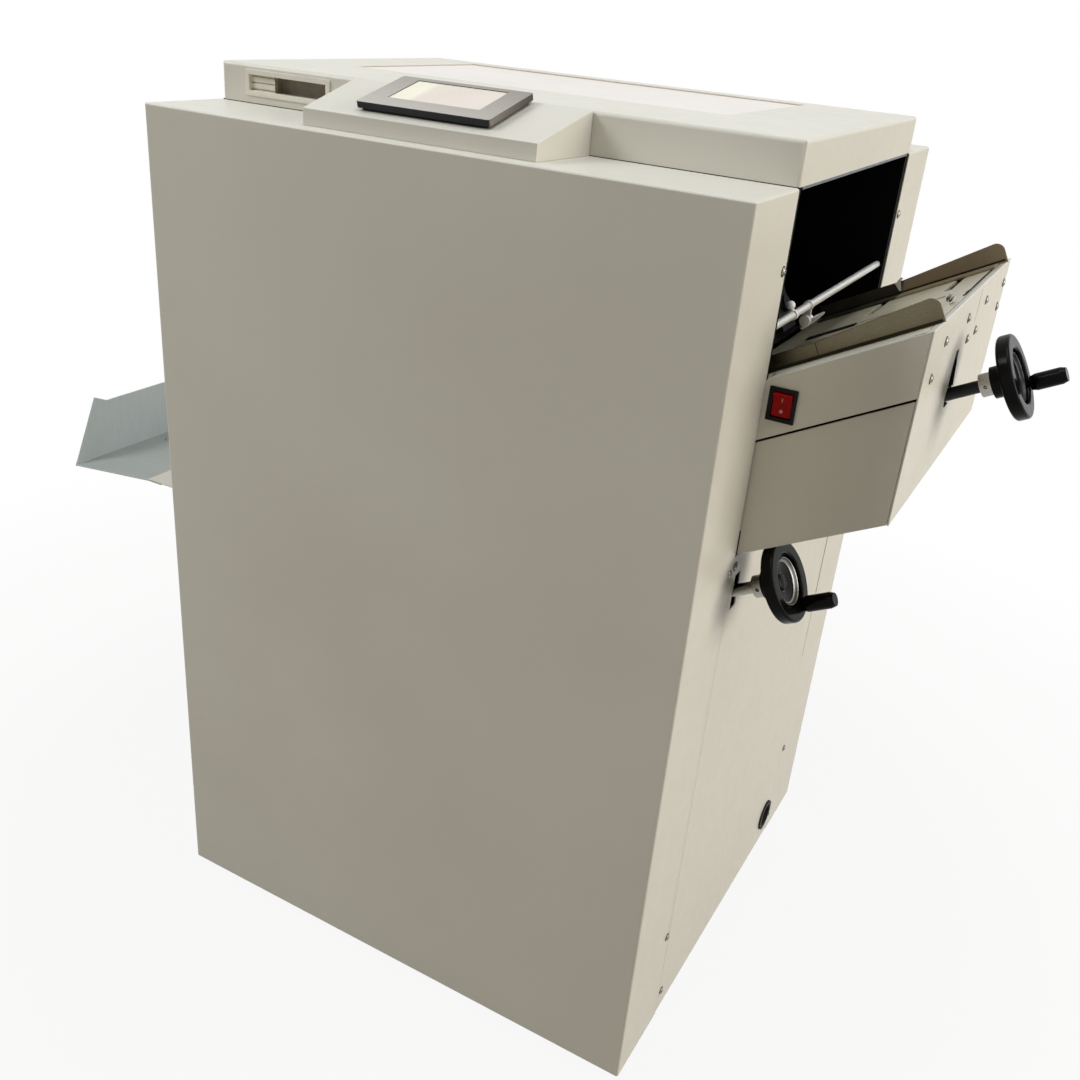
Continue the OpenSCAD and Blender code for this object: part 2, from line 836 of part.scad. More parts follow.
// Rectangle with its two upper corners rounded
module topped(w, h, r) {
  square([w, h - r]);
  translate([r, 0]) square([w - 2 * r, h]);
  for (x = [r, w - r]) translate([x, h - r]) circle(r);
}

// Rectangle with all four corners rounded
module rounded(w, h, r) {
  translate([0, r]) square([w, h - 2 * r]);
  translate([r, 0]) square([w - 2 * r, h]);
  for (x = [r, w - r], y = [r, h - r]) translate([x, y]) circle(r);
}

// Panel screw with its head outside a face, pointing along -Z, with face at z = 0
module screw() {
  difference() {
    union() {
      translate([0, 0, -screw_len]) cylinder(r = screw_r, h = screw_len);
      cylinder(r = screw_head_r, h = screw_head_h);
    }
    translate([0, 0, screw_head_h / 2])
      cylinder(r = screw_drive_r, h = screw_head_h / 2 + eps, $fn = 6);
  }
}

module base_plate() color(black_steel) cab() difference() {
  block([base_gap - cab_w, base_gap, base_z], [-base_gap, cab_d - base_gap, base_top]);
  for (x = [foot_inset - cab_w, -foot_inset], y = [foot_inset, cab_d - foot_inset])
    bar_z([x, y], foot_stud_r, base_z - eps, base_top + eps);
}

module levelling_feet() color(rubber) cab()
  for (x = [foot_inset - cab_w, -foot_inset], y = [foot_inset, cab_d - foot_inset]) {
    bar_z([x, y], foot_r, -foot_h, foot_pad_t - foot_h);
    bar_z([x, y], foot_stud_r, foot_pad_t - foot_h - eps, base_top + foot_pad_t);
    translate([x, y, base_top]) cylinder(r = foot_nut_r, h = foot_pad_t, $fn = 6);
  }

// Side plate at front, with its bores and tabs for cover screws
module side_plate(shafts_out, low) {
  difference() {
    union() {
      block([sheet - cab_w, plate_y, base_top], [-sheet, inner_y, plate_top]);
      for (x = [sheet - cab_w, -sheet - tab_t], z = [low, screw_high])
        block([x, plate_y - tab_w, z - tab_h / 2], [x + tab_t, plate_y + eps, z + tab_h / 2]);
    }
    for (place = tie_places) plate_bore(place, tie_r);
    for (place = [a_place, b_place]) plate_bore(place, fold_shaft_r + run_fit);
    for (place = [conveyor_in, conveyor_out]) plate_bore(place, conveyor_shaft_r + run_fit);
    plate_bore(spool_place, spool_shaft_r);
    if (shafts_out) {
      plate_bore(rod_place, rod_r);
      plate_bore(motor_place, motor_hole_r);
    }
    for (z = [low, screw_high])
      bar_x([cover_depth - screw_edge, z], screw_r, -cab_w, eps);
    for (z = [right_screw_low, right_screw_high])
      bar_x([plate_y + plate_t / 2, z], screw_r, -2 * screw_len, 0);
  }
}

module plate_bore(place, r) {
  bar_y(place, r, plate_y - eps, inner_y + eps);
}

module front_side_plate() color(black_steel) cab() side_plate(true, screw_low);

module rear_side_plate() color(black_steel) cab() to_back() side_plate(false, back_screw_low);

// Fixed round bars: tie bars, spool shaft, hold-down rod and guide rods of stops
module frame_bars() color(steel) {
  cab() {
    for (place = tie_places) bar_y(place, tie_r, plate_y, rear_y);
    bar_y(spool_place, spool_shaft_r, plate_y, rear_y);
    bar_y(rod_place, rod_r, plate_y, rear_y - plate_t - rod_short);
  }
  on_shaft(-upper_y, -upper_drop) bar_z([0, 0], shaft_r, bar_low - bearing_t, bar_high + bearing_t);
  on_shaft(-lower_y, -lower_drop)
    bar_z([0, 0], shaft_r, lower_bearing_low() - bearing_t, lower_bearing_high() + bearing_t);
}

function lower_bearing_low() = fold_stop_at - stop_travel - 2 * stop_half;
function lower_bearing_high() = fold_stop_at + stop_travel + 2 * stop_half;

module cover(low) {
  difference() {
    intersection() {
      linear_extrude(cover_h)
        translate([-cab_w, cover_depth]) mirror([0, 1]) topped(cab_w, cover_depth, edge_r);
      translate([-cab_w, 0, 0]) profile_xz(0, cover_depth) topped(cab_w, cover_h, edge_r);
      profile_yz(-cab_w, 0) topped(2 * cover_depth, cover_h, edge_r);
    }
    block([sheet - cab_w, sheet, -eps], [-sheet, cover_depth + eps, cover_h - sheet]);
    for (z = [low, screw_high])
      bar_x([cover_depth - screw_edge, z], screw_r, -cab_w - eps, eps);
  }
}

module front_cover() color(paint) cab() cover(screw_low);

module back_cover() color(paint) cab() to_back() cover(back_screw_low);

module right_panel() color(paint) cab() difference() {
  block([-sheet, cover_depth + panel_gap, panel_low],
        [0, back_edge - panel_gap, right_panel_h]);
  bar_x(cable_place, cable_r, -sheet - eps, eps);
  translate([-sheet - eps, mid_y + lower_y - shaft_slot_w / 2, lower_exit_z - shaft_slot_h / 2])
    cube([sheet + 2 * eps, shaft_slot_w, shaft_slot_h]);
  for (y = right_screw_places(), z = [right_screw_low, right_screw_high])
    bar_x([y, z], screw_r, -sheet - eps, eps);
}

function right_screw_places() = [plate_y + plate_t / 2, rear_y - plate_t / 2];

module left_panel() color(paint) cab() difference() {
  block([-cab_w, cover_depth + panel_gap, panel_low],
        [sheet - cab_w, back_edge - panel_gap, cover_h - panel_low]);
  block([-cab_w - eps, cover_depth + outlet_inset, outlet_low],
        [sheet - cab_w + eps, back_edge - outlet_inset, outlet_low + outlet_h]);
}

// Every panel screw: cover flanges, right panel and infeed end plate
module panel_screws() color(steel) cab() {
  cover_screws(cover_depth - screw_edge, screw_low);
  cover_screws(back_edge + screw_edge, back_screw_low);
  for (y = right_screw_places(), z = [right_screw_low, right_screw_high])
    translate([0, y, z]) rotate([0, 90, 0]) screw();
  for (place = end_screws())
    translate([infeed_reach, place[0], place[1]]) rotate([0, 90, 0]) screw();
}

module cover_screws(y, low) {
  for (z = [low, screw_high], x = [0, -cab_w])
    translate([x, y, z]) rotate([0, x < 0 ? -90 : 90, 0]) screw();
}

// Places of end plate screws as cabinet y and height
function end_screws() =
  let (top = cab_z(along_at(infeed_reach, 0), 0) - end_screw_drop)
  concat(
    [for (y = end_screw_top) [from_edge(y), top]],
    [for (y = end_screw_bottom) [from_edge(y), top - end_screw_step]]);

function from_edge(y) = y < 0 ? back_edge + y : cover_depth + y;

module cable_grommet() color(rubber) cab()
  translate([0, cable_place[0], cable_place[1]]) rotate([0, 90, 0]) difference() {
    union() {
      cylinder(r = cable_r + grommet_lip, h = grommet_wall);
      translate([0, 0, -sheet - grommet_depth]) cylinder(r = cable_r, h = sheet + grommet_depth + eps);
    }
    translate([0, 0, -sheet - grommet_depth - eps])
      cylinder(r = cable_r - grommet_wall, h = sheet + grommet_depth + grommet_wall + 3 * eps);
  }

hood_z = cover_h + hood_gap;
hood_d = cab_d - 2 * cover_depth;

// Hood frame: origin at hood's lower left front corner
module on_hood() {
  cab() translate([-hood_w, cover_depth, hood_z]) children();
}

module hood() color(paint) on_hood() difference() {
  intersection() {
    linear_extrude(hood_h) rounded(hood_w, hood_d, hood_r);
    profile_xz(0, hood_d) topped(hood_w, hood_h, hood_r);
    profile_yz(0, hood_w) topped(hood_d, hood_h, hood_r);
  }
  block([sheet, sheet, sheet], [hood_w - sheet, hood_d - sheet, hood_h - sheet]);
  block([sheet, hood_rim, -eps], [hood_w - sheet, hood_d - hood_rim, sheet + eps]);
  block([inset_left, inset_front, hood_h - sheet - eps],
        [hood_w - inset_right, hood_d - inset_side, hood_h + eps]);
  block([pull_left + pull_border, -eps, pull_low + pull_border],
        [pull_left + pull_w - pull_border, sheet + eps, pull_low + pull_h - pull_border]);
}

module hood_inset() color(paint) on_hood()
  block([inset_left - inset_lap, inset_front - inset_lap, hood_h - sheet - sheet],
        [hood_w - inset_right + inset_lap, hood_d - inset_side + inset_lap, hood_h - sheet]);

// Flush pull: a border on hood, a tub behind it, and a ribbed block at its left
module pull_handle() color(ivory) on_hood() translate([pull_left, 0, pull_low]) difference() {
  union() {
    profile_xz(-pull_proud, 0) rounded(pull_w, pull_h, pull_border / 2);
    block([pull_border, -eps, pull_border], [pull_w - pull_border, pull_depth, pull_h - pull_border]);
  }
  block([pull_border + sheet + rib_block_w, -pull_proud - eps, pull_border + sheet],
        [pull_w - pull_border - sheet, pull_depth - sheet, pull_h - pull_border - sheet]);
  block([pull_border + sheet, -pull_proud - eps, pull_border + sheet],
        [pull_border + sheet + rib_block_w + eps, rib_block_set, pull_h - pull_border - sheet]);
  for (i = [1 : rib_count])
    translate([pull_border + sheet, rib_block_set - eps,
               i * pull_h / (rib_count + 1) - rib_groove / 2])
      cube([rib_block_w + eps, rib_groove, rib_groove]);
}

hinge_axis_y = back_edge + hinge_back;
hinge_axis_z = cover_h + hinge_up;
knuckle_len = hinge_len / 3;

// Hinge frame: x along pin from middle of a hinge, origin on pin
module at_hinges() {
  cab() for (x = [-hinge_inset, hinge_inset - hood_w])
    translate([x, hinge_axis_y, hinge_axis_z]) children();
}

module hinge_fixed_leaves() color(steel) at_hinges() {
  difference() {
    union() {
      for (x = [-hinge_len / 2, knuckle_len / 2])
        bar_x([0, 0], knuckle_r, x, x + knuckle_len);
      block([-hinge_len / 2, knuckle_r + knuckle_gap, -hinge_up],
            [hinge_len / 2, leaf_w, sheet - hinge_up]);
      for (x = [-hinge_len / 2, knuckle_len / 2])
        block([x, 0, -hinge_up], [x + knuckle_len, knuckle_r + 2 * knuckle_gap, sheet - hinge_up]);
    }
    bar_x([0, 0], hinge_pin_r, -hinge_len / 2 - eps, hinge_len / 2 + eps);
  }
  bar_x([0, 0], hinge_pin_r, -hinge_len / 2, hinge_len / 2);
}

module hinge_moving_leaves() color(steel) at_hinges() {
  neck = knuckle_len / 2 - knuckle_gap;
  difference() {
    union() {
      bar_x([0, 0], knuckle_r, -neck, neck);
      block([-neck, -hinge_back, 0], [neck, sheet - hinge_back, leaf_rise + eps]);
      block([-neck, -hinge_back, 0], [neck, -hinge_pin_r, hinge_pin_r]);
    }
    bar_x([0, 0], hinge_pin_r + run_fit, -neck - eps, neck + eps);
  }
  block([-hinge_len / 2, -hinge_back, leaf_rise],
        [hinge_len / 2, sheet - hinge_back, leaf_rise + leaf_w]);
}

// Housing frame: x across from its middle, y up its sloping top, z out of that top
module on_housing() {
  cab() translate([housing_left + housing_w / 2, housing_front, cover_h + housing_lip])
    rotate([housing_deg, 0, 0]) children();
}

// Wedge that is wider at back, inside a wall
module housing_wedge(low, wall) {
  front = housing_front + wall;
  back = housing_back - wall;
  top = cover_h + housing_lip - wall;
  intersection() {
    profile_yz(-cab_w, 0)
      polygon([[front, low], [front, top], [back, top + housing_rise - wall], [back, low]]);
    linear_extrude(2 * cover_h) polygon([
      [housing_left + wall, front], [housing_end - wall, front],
      [housing_end + housing_flare - wall, back], [housing_left - housing_flare + wall, back]]);
  }
}

module panel_housing() color(paint) difference() {
  cab() difference() {
    housing_wedge(cover_h, 0);
    housing_wedge(cover_h - eps, sheet);
  }
  on_housing() hmi_body(2 * sheet, run_fit);
}

// Body of touch panel that goes down through housing
module hmi_body(above, gap) {
  reach = bezel_w / 2 - hmi_side + gap;
  block([-reach, bezel_low + hmi_edge - gap, -hmi_body_t],
        [reach, bezel_low + bezel_d - hmi_edge + gap, above]);
}

module touch_panel() color(silver_plastic) on_housing() {
  difference() {
    union() {
      bezel_slab(bezel_lift, bezel_t, 0);
      bezel_slab(0, bezel_t - screen_recess, bezel_step);
    }
    screen_place(bezel_t - screen_recess, screen_recess + eps);
  }
  hmi_body(eps, 0);
}

module bezel_slab(z0, z1, inset) {
  translate([inset - bezel_w / 2, bezel_low + inset, z0])
    linear_extrude(z1 - z0) rounded(bezel_w - 2 * inset, bezel_d - 2 * inset, bezel_r);
}

module screen_place(z, t) {
  reach = bezel_w / 2 - screen_side;
  block([-reach, bezel_low + screen_low, z], [reach, bezel_low + bezel_d - screen_high, z + t]);
}

module touch_screen() color(screen_cream) on_housing()
  screen_place(bezel_t - screen_recess, screen_t);

// Outline of an infeed side between two depths below table edge
module infeed_outline(x0, x1, top, low) {
  rise = tan(slope_deg);
  polygon([
    [x0, table_z - low + x0 * rise], [x1, table_z - low + x1 * rise],
    [x1, table_z - top + x1 * rise], [x0, table_z - top + x0 * rise]]);
}

module infeed_side() {
  cab() {
    profile_xz(cover_depth, cover_depth + sheet) infeed_outline(panel_gap, infeed_end, 0, side_h);
    profile_xz(cover_depth, plate_y) infeed_outline(-infeed_root, -sheet, sheet, side_h);
    profile_xz(cover_depth, cover_depth + sheet)
      infeed_outline(-sheet - eps, panel_gap + eps, sheet, side_h);
  }
  slope() block([2 * sheet, -half + eps, -sheet], [lip_end, lip_w - half, 0]);
}

module switch_hole(gap) {
  translate([switch_x + switch_step - gap, cover_depth - eps, switch_z + switch_step - gap])
    cube([switch_w - 2 * switch_step + 2 * gap, sheet + 2 * eps, switch_h - 2 * switch_step + 2 * gap]);
}

module infeed_front_side() color(paint) difference() {
  infeed_side();
  cab() switch_hole(run_fit);
}

module infeed_rear_side() color(paint) mirror([0, 1, 0]) infeed_side();

apron_y = cover_depth + apron_step;
apron_end = infeed_end - panel_gap;

module apron_sheet() {
  profile_xz(apron_y, apron_y + sheet) {
    infeed_outline(panel_gap, apron_end, side_h + seam_gap, apron_low);
    infeed_outline(-infeed_root, panel_gap + eps, side_h + seam_gap, apron_low - infeed_root);
  }
}

module infeed_apron() color(paint) cab() {
  apron_sheet();
  to_back() apron_sheet();
  profile_xz(apron_y, cab_d - apron_y)
    infeed_outline(panel_gap, apron_end, apron_low - sheet / slope_cos, apron_low);
}

module infeed_end_plate() color(paint) difference() {
  union() {
    cab() block([infeed_end, cover_depth, cab_z(along_at(infeed_end, 0), 0) - apron_low],
                [infeed_reach, back_edge, cab_z(along_at(infeed_end, 0), 0)]);
    slope() block([lip_end + table_gap, sheet - half, -sheet],
                  [along_at(infeed_end, 0) + sheet / 2, half - sheet, 0]);
  }
  on_shaft(upper_y, -upper_drop) bar_z([0, 0], shaft_r + sheet, upper_face - hub_r, upper_face + hub_r);
  cab() {
    translate([infeed_end - eps, mid_y + upper_y - slit_w / 2, cab_z(upper_face, -upper_drop)])
      cube([sheet + 2 * eps, slit_w, slit_h]);
    for (place = end_screws()) bar_x(place, screw_r, infeed_end - eps, infeed_reach + eps);
  }
}

module infeed_table() color(table_cream) slope() difference() {
  union() {
    block([-table_in, -inner, -table_t], [-2 * sheet, inner, 0]);
    block([-2 * sheet - eps, lip_w + table_gap - half, -table_t], [lip_end, half - lip_w - table_gap, 0]);
  }
  for (side = [-1, 1], a = [shank_low, shank_high])
    block([a - shank_w / 2 - shank_gap, min(side * guide_slot_in, side * guide_slot_out), -table_t - eps],
          [a + shank_w / 2 + shank_gap, max(side * guide_slot_in, side * guide_slot_out), eps]);
  for (side = [-1, 1])
    block([-table_in / 2, side * long_slot_y - long_slot_w / 2, -table_t - eps],
          [lip_end - long_slot_end, side * long_slot_y + long_slot_w / 2, eps]);
}

// Guide at front: wall that rises to a round outer corner, foot, shanks and clamp knobs
module guide() {
  profile_xz(-guide_y - guide_t, -guide_y) {
    polygon([[guide_in, guide_lift], [guide_out, guide_lift], [guide_out, guide_h - guide_r],
             [guide_out - guide_r, guide_h], [guide_step, guide_low_h], [guide_in, guide_low_h]]);
    translate([guide_out - guide_r, guide_h - guide_r]) circle(guide_r);
  }
  block([guide_in, -guide_y - eps, guide_lift], [lip_end, guide_foot - guide_y, guide_lift + guide_t]);
  for (a = [shank_low, shank_high]) {
    translate([a - shank_w / 2, shank_set - shank_w / 2 - guide_y, -table_t - guide_lift - eps])
      cube([shank_w, shank_w, table_t + 2 * guide_lift + 2 * eps]);
    bar_z([a, shank_set - guide_y], clamp_r, -table_t - guide_lift - clamp_h, -table_t - guide_lift);
  }
}

module front_guide() color(steel) slope() guide();

module rear_guide() color(steel) slope() mirror([0, 1, 0]) guide();

module switch_bezel() color(black_plastic) cab() difference() {
  union() {
    block([switch_x, cover_depth - switch_proud, switch_z],
          [switch_x + switch_w, cover_depth, switch_z + switch_h]);
    block([switch_x + switch_step, cover_depth - eps, switch_z + switch_step],
          [switch_x + switch_w - switch_step, cover_depth + switch_depth,
           switch_z + switch_h - switch_step]);
  }
  block([switch_x + switch_border, cover_depth - switch_proud - eps, switch_z + switch_border],
        [switch_x + switch_w - switch_border, cover_depth + switch_depth - sheet,
         switch_z + switch_h - switch_border]);
}

// Rocker: a V-shaped face that tips about a level axis in bezel
module switch_rocker() color(switch_red) cab() {
  reach = switch_h / 2 - switch_border - rocker_gap;
  translate([0, cover_depth + rocker_dip, switch_z + switch_h / 2]) rotate([rocker_tilt, 0, 0])
    profile_yz(switch_x + switch_border + rocker_gap, switch_x + switch_w - switch_border - rocker_gap)
      intersection() {
        circle(reach);
        polygon([[rocker_dip, -reach], [rocker_dip, reach], [-rocker_rise, reach],
                 [-rocker_dip, 0], [-rocker_rise, -reach]]);
      }
}

// Lever on rod: ring, stem and ball end
module release_lever() color(white_plastic) cab() difference() {
  y0 = inner_y + lever_y - arm_w / 2;
  union() {
    bar_y(rod_place, arm_r, y0, y0 + arm_w);
    translate([rod_place[0], y0 + arm_w / 2, rod_place[1]]) rotate([0, -lever_lean, 0]) {
      cylinder(r = lever_r, h = lever_up);
      translate([0, 0, lever_up]) sphere(lever_ball_r);
    }
  }
  bar_y(rod_place, rod_r + run_fit, y0 - eps, y0 + arm_w + eps);
}

// Arm that hangs from rod, with roller at its end
module hold_down_arm() color(steel) cab() difference() {
  y0 = inner_y + arm_y;
  tip = [rod_place[0], rod_place[1] - arm_len];
  union() {
    bar_y(rod_place, arm_r, y0, y0 + arm_w);
    block([tip[0] - rod_r, y0, tip[1]], [tip[0] + rod_r, y0 + arm_w, rod_place[1]]);
    bar_y(tip, rod_r, y0, y0 + arm_w);
    bar_y(tip, axle_r, y0, y0 + arm_w + arm_roller_w);
  }
  bar_y(rod_place, rod_r + run_fit, y0 - eps, y0 + arm_w + eps);
}

module arm_roller() color(white_plastic) cab() difference() {
  y0 = inner_y + arm_y + arm_w;
  tip = [rod_place[0], rod_place[1] - arm_len];
  bar_y(tip, arm_roller_r, y0, y0 + arm_roller_w);
  bar_y(tip, axle_r, y0 - eps, y0 + arm_roller_w + eps);
}

// Handwheel: dished web, broad rim, boss and fixed axle for grip; hub back at z = 0
module wheel(grip_deg) {
  difference() {
    union() {
      rotate_extrude() {
        square([hub_r, hub_len]);
        polygon([[0, web_t], [0, hub_len], [wheel_r - rim_r, rim_front + web_t / 2],
                 [wheel_r - rim_r, rim_front - web_t / 2]]);
        translate([wheel_r - rim_t, rim_end - rim_w]) rounded(rim_t, rim_w, rim_r);
      }
      at_grip(grip_deg) bar_z([0, 0], grip_end_r, rim_front - web_t, rim_end);
      at_grip(grip_deg) bar_z([0, 0], axle_r, rim_front, grip_tip - run_fit);
      at_grip(grip_deg) bar_z([0, 0], axle_head_r, grip_tip - axle_seat + run_fit, grip_tip - run_fit);
    }
    translate([0, 0, -eps]) cylinder(r = shaft_r, h = hub_len + web_t + rim_front);
    translate([0, 0, hub_len]) cylinder(r = washer_r, h = rim_front);
  }
}

module at_grip(grip_deg) {
  translate([-grip_arm * sin(grip_deg), grip_arm * cos(grip_deg), 0]) children();
}

module grip(grip_deg) {
  at_grip(grip_deg) rotate_extrude() difference() {
    polygon([[0, grip_start], [grip_end_r, grip_start], [grip_r, grip_start + grip_taper],
             [grip_r, grip_tip - grip_taper], [grip_end_r, grip_tip], [0, grip_tip]]);
    square([axle_r + run_fit, grip_tip + eps]);
    translate([0, grip_tip - axle_seat]) square([axle_head_r + run_fit, axle_seat + eps]);
  }
}

module collar() {
  difference() {
    rotate_extrude() translate([shaft_r, 0]) square([collar_r - shaft_r, collar_len]);
    translate([0, 0, collar_len / 2]) rotate([-90, 0, 0])
      translate([0, 0, -collar_r - eps]) cylinder(r = set_screw_r, h = collar_r - shaft_r + 2 * eps);
  }
}

// Adjusting shaft from its inner end to washer in wheel's dish
module adjusting_shaft(inner_end, hub_back) {
  bar_z([0, 0], shaft_r, inner_end, hub_back + hub_len + washer_t);
  bar_z([0, 0], washer_r, hub_back + hub_len, hub_back + hub_len + washer_t);
}

upper_hub = upper_face + upper_out;
lower_hub = lower_face + lower_out;

module upper_screw() color(black_steel) on_shaft(upper_y, -upper_drop)
  adjusting_shaft(bar_low - bearing_t, upper_hub);

module upper_collar() color(steel) on_shaft(upper_y, -upper_drop)
  translate([0, 0, upper_hub - collar_len]) collar();

module upper_wheel() color(black_plastic) on_shaft(upper_y, -upper_drop)
  translate([0, 0, upper_hub]) wheel(upper_grip_deg);

module upper_grip() color(black_plastic) on_shaft(upper_y, -upper_drop)
  translate([0, 0, upper_hub]) grip(upper_grip_deg);

module lower_screw() color(steel) on_shaft(lower_y, -lower_drop) {
  adjusting_shaft(lower_bearing_low() - bearing_t, lower_hub);
  translate([0, 0, lower_hub - collar_len]) collar();
}

module lower_wheel() color(black_plastic) on_shaft(lower_y, -lower_drop)
  translate([0, 0, lower_hub]) wheel(lower_grip_deg);

module lower_grip() color(black_plastic) on_shaft(lower_y, -lower_drop)
  translate([0, 0, lower_hub]) grip(lower_grip_deg);

// Stop for stitching: nut and guide block on one bar, with two fingers through bed
module stitch_stop() color(steel) slope() translate([stitch_stop_at, 0, 0]) difference() {
  union() {
    for (side = [-1, 1])
      block([-stop_half, side * upper_y - stop_block, -upper_drop - stop_block],
            [stop_half, side * upper_y + stop_block, stop_block - upper_drop]);
    block([-stop_bar, -finger_y - finger_w, -upper_drop - stop_block / 2],
          [stop_bar, finger_y + finger_w, stop_block / 2 - upper_drop]);
    fingers(-upper_drop);
  }
  for (side = [-1, 1])
    bar_x([side * upper_y, -upper_drop], shaft_r + run_fit, -2 * stop_half, 2 * stop_half);
}

module fingers(low) {
  for (side = [-1, 1])
    block([-finger_w / 2, side * finger_y - finger_w / 2, low],
          [finger_w / 2, side * finger_y + finger_w / 2, finger_h]);
}

// Stop for folding: a portal that stands on lower shaft and its guide rod
module fold_stop() color(steel) slope() translate([fold_stop_at, 0, 0]) difference() {
  union() {
    for (side = [-1, 1]) {
      block([-stop_half, side * lower_y - fold_block_y, -lower_drop - stop_block],
            [stop_half, side * lower_y + fold_block_y, stop_block - lower_drop]);
      block([-stop_bar, side * lower_y - fold_block_y, -lower_drop],
            [stop_bar, side * lower_y + fold_block_y, -fold_bar_top]);
    }
    block([-stop_bar, lower_y, -fold_bar_top - fold_bar_h], [stop_bar, -lower_y, -fold_bar_top]);
    fingers(-fold_bar_top - eps);
  }
  for (side = [-1, 1])
    bar_x([side * lower_y, -lower_drop], shaft_r + run_fit, -2 * stop_half, 2 * stop_half);
}

// Bars and blocks that carry adjusting shafts and guide rods
module screw_bearings() color(black_steel) slope() {
  for (a = [bar_low - bearing_t, bar_high]) difference() {
    block([a, -inner, -upper_drop - stop_block], [a + bearing_t, inner, stop_block - upper_drop]);
    bar_x([upper_y, -upper_drop], shaft_r + run_fit, a - eps, a + bearing_t + eps);
    bar_x([-upper_y, -upper_drop], shaft_r, a - eps, a + bearing_t + eps);
  }
  for (a = [lower_bearing_low() - bearing_t, lower_bearing_high()], side = [-1, 1])
    lower_bearing(a, side, side < 0 ? run_fit : 0);
  lower_bearing(lower_face - 2 * bearing_t, -1, run_fit);
  difference() {
    block([hanger_at - bearing_t / 2, upper_y - stop_block, -upper_drop - stop_block],
          [hanger_at + bearing_t / 2, upper_y + stop_block, -table_t]);
    bar_x([upper_y, -upper_drop], shaft_r + run_fit, hanger_at - bearing_t, hanger_at + bearing_t);
  }
}

module lower_bearing(a, side, gap) {
  outer = side * inner;
  inside = side * (abs(lower_y) - collar_r);
  difference() {
    block([a, min(outer, inside), -lower_drop - stop_block],
          [a + bearing_t, max(outer, inside), stop_block - lower_drop]);
    bar_x([side * abs(lower_y), -lower_drop], shaft_r + gap, a - eps, a + bearing_t + eps);
  }
}

// Bed plates of paper path before and after folding line, and deflector
module paper_beds() color(steel) slope() {
  bed(fold_at + fold_slot, stitch_at - clinch_gap, stitch_stop_at);
  bed(bed_end, fold_at - fold_slot, fold_stop_at);
  translate([fold_at + deflector_at, 0, -deflector_top]) {
    block([0, -inner, -deflector_len], [sheet, inner, 0]);
    translate([0, 0, -deflector_len]) rotate([0, deflector_deg, 0])
      block([0, -inner, -deflector_end], [sheet, inner, sheet / 2]);
  }
}

module bed(low, high, stop_at) {
  reach = stop_travel + finger_w / 2 + shank_gap;
  difference() {
    block([low, -inner, -table_t], [high, inner, 0]);
    for (side = [-1, 1])
      block([stop_at - reach, side * finger_y - finger_w / 2 - shank_gap, -table_t - eps],
            [stop_at + reach, side * finger_y + finger_w / 2 + shank_gap, eps]);
  }
}

beam_a = stitch_at - head_half_a;

// Cross beam for heads, with actuator that works both drivers
module stitch_beam() color(black_steel) slope() {
  block([beam_a - beam_t, -inner, beam_low], [beam_a, inner, beam_low + beam_h]);
  difference() {
    block([beam_a, -actuator_half, beam_low], [stitch_at + actuator_half, actuator_half, head_high]);
    bar_z([stitch_at, 0], actuator_rod_r + run_fit, beam_low + driver_bar_h, head_high + eps);
  }
}

module stitch_heads() color(head_grey) slope()
  for (side = [-1, 1]) translate([stitch_at, side * head_y, 0]) stitch_head();

module stitch_head() {
  difference() {
    block([-head_half_a, -head_half_y, head_low], [head_half_a, head_half_y, head_high]);
    bar_z([0, 0], plunger_r + run_fit, head_low - eps, head_high + eps);
  }
  for (p = [head_low + 3 * feed_wheel_r, head_low + 6 * feed_wheel_r])
    bar_x([0, p], feed_wheel_r, head_half_a - eps, head_half_a + feed_wheel_t);
}

module stitch_drivers() color(steel) slope() translate([stitch_at, 0, 0]) {
  block([-driver_bar_a, -head_y - head_half_y, driver_bar_low],
        [driver_bar_a, head_y + head_half_y, driver_bar_low + driver_bar_h]);
  for (side = [-1, 1]) {
    bar_z([0, side * head_y], plunger_r, 2 * driver_low, driver_bar_low + eps);
    block([-driver_t / 2, side * head_y - driver_w / 2, driver_low],
          [driver_t / 2, side * head_y + driver_w / 2, 2 * driver_low + eps]);
  }
  bar_z([0, 0], actuator_rod_r, beam_low + 2 * driver_bar_h, driver_bar_low + eps);
}

module clincher_bar() color(black_steel) slope() translate([stitch_at, 0, 0]) {
  block([-clinch_half_a, -inner, -clinch_bar_top - clinch_bar_h],
        [clinch_half_a, inner, -clinch_bar_top]);
  for (side = [-1, 1])
    block([-clinch_half_a, side * head_y - clinch_half_y, -clinch_bar_top - eps],
          [clinch_half_a, side * head_y + clinch_half_y, -clinch_top]);
}

// Wire spool, filled with wire, on spool shaft
module spool(y) {
  difference() {
    union() {
      for (at = [y, y + spool_w - spool_flange]) bar_y(spool_place, spool_r, at, at + spool_flange);
      bar_y(spool_place, wire_r, y + spool_flange - eps, y + spool_w - spool_flange + eps);
    }
    bar_y(spool_place, spool_shaft_r + run_fit, y - eps, y + spool_w + eps);
  }
}

module front_spool() color(steel) cab() spool(mid_y - head_y - spool_w / 2);

module rear_spool() color(steel) cab() spool(mid_y + head_y - spool_w / 2);

// Bridge over folding line, with knife posts and knife actuator
module knife_bridge() color(black_steel) slope() translate([fold_at, 0, 0]) {
  difference() {
    union() {
      block([-bridge_half, -inner, bridge_low], [bridge_half, inner, bridge_low + bridge_h]);
      block([-ram_half, -ram_half, bridge_low + bridge_h - eps],
            [ram_half, ram_half, bridge_low + bridge_h + ram_h]);
    }
    bar_z([0, 0], post_r + run_fit, bridge_low - eps,
          bridge_low + bridge_h + ram_rod_in + bridge_h / 4);
  }
  for (side = [-1, 1]) bar_z([0, side * post_y], post_r, post_low, bridge_low + eps);
}

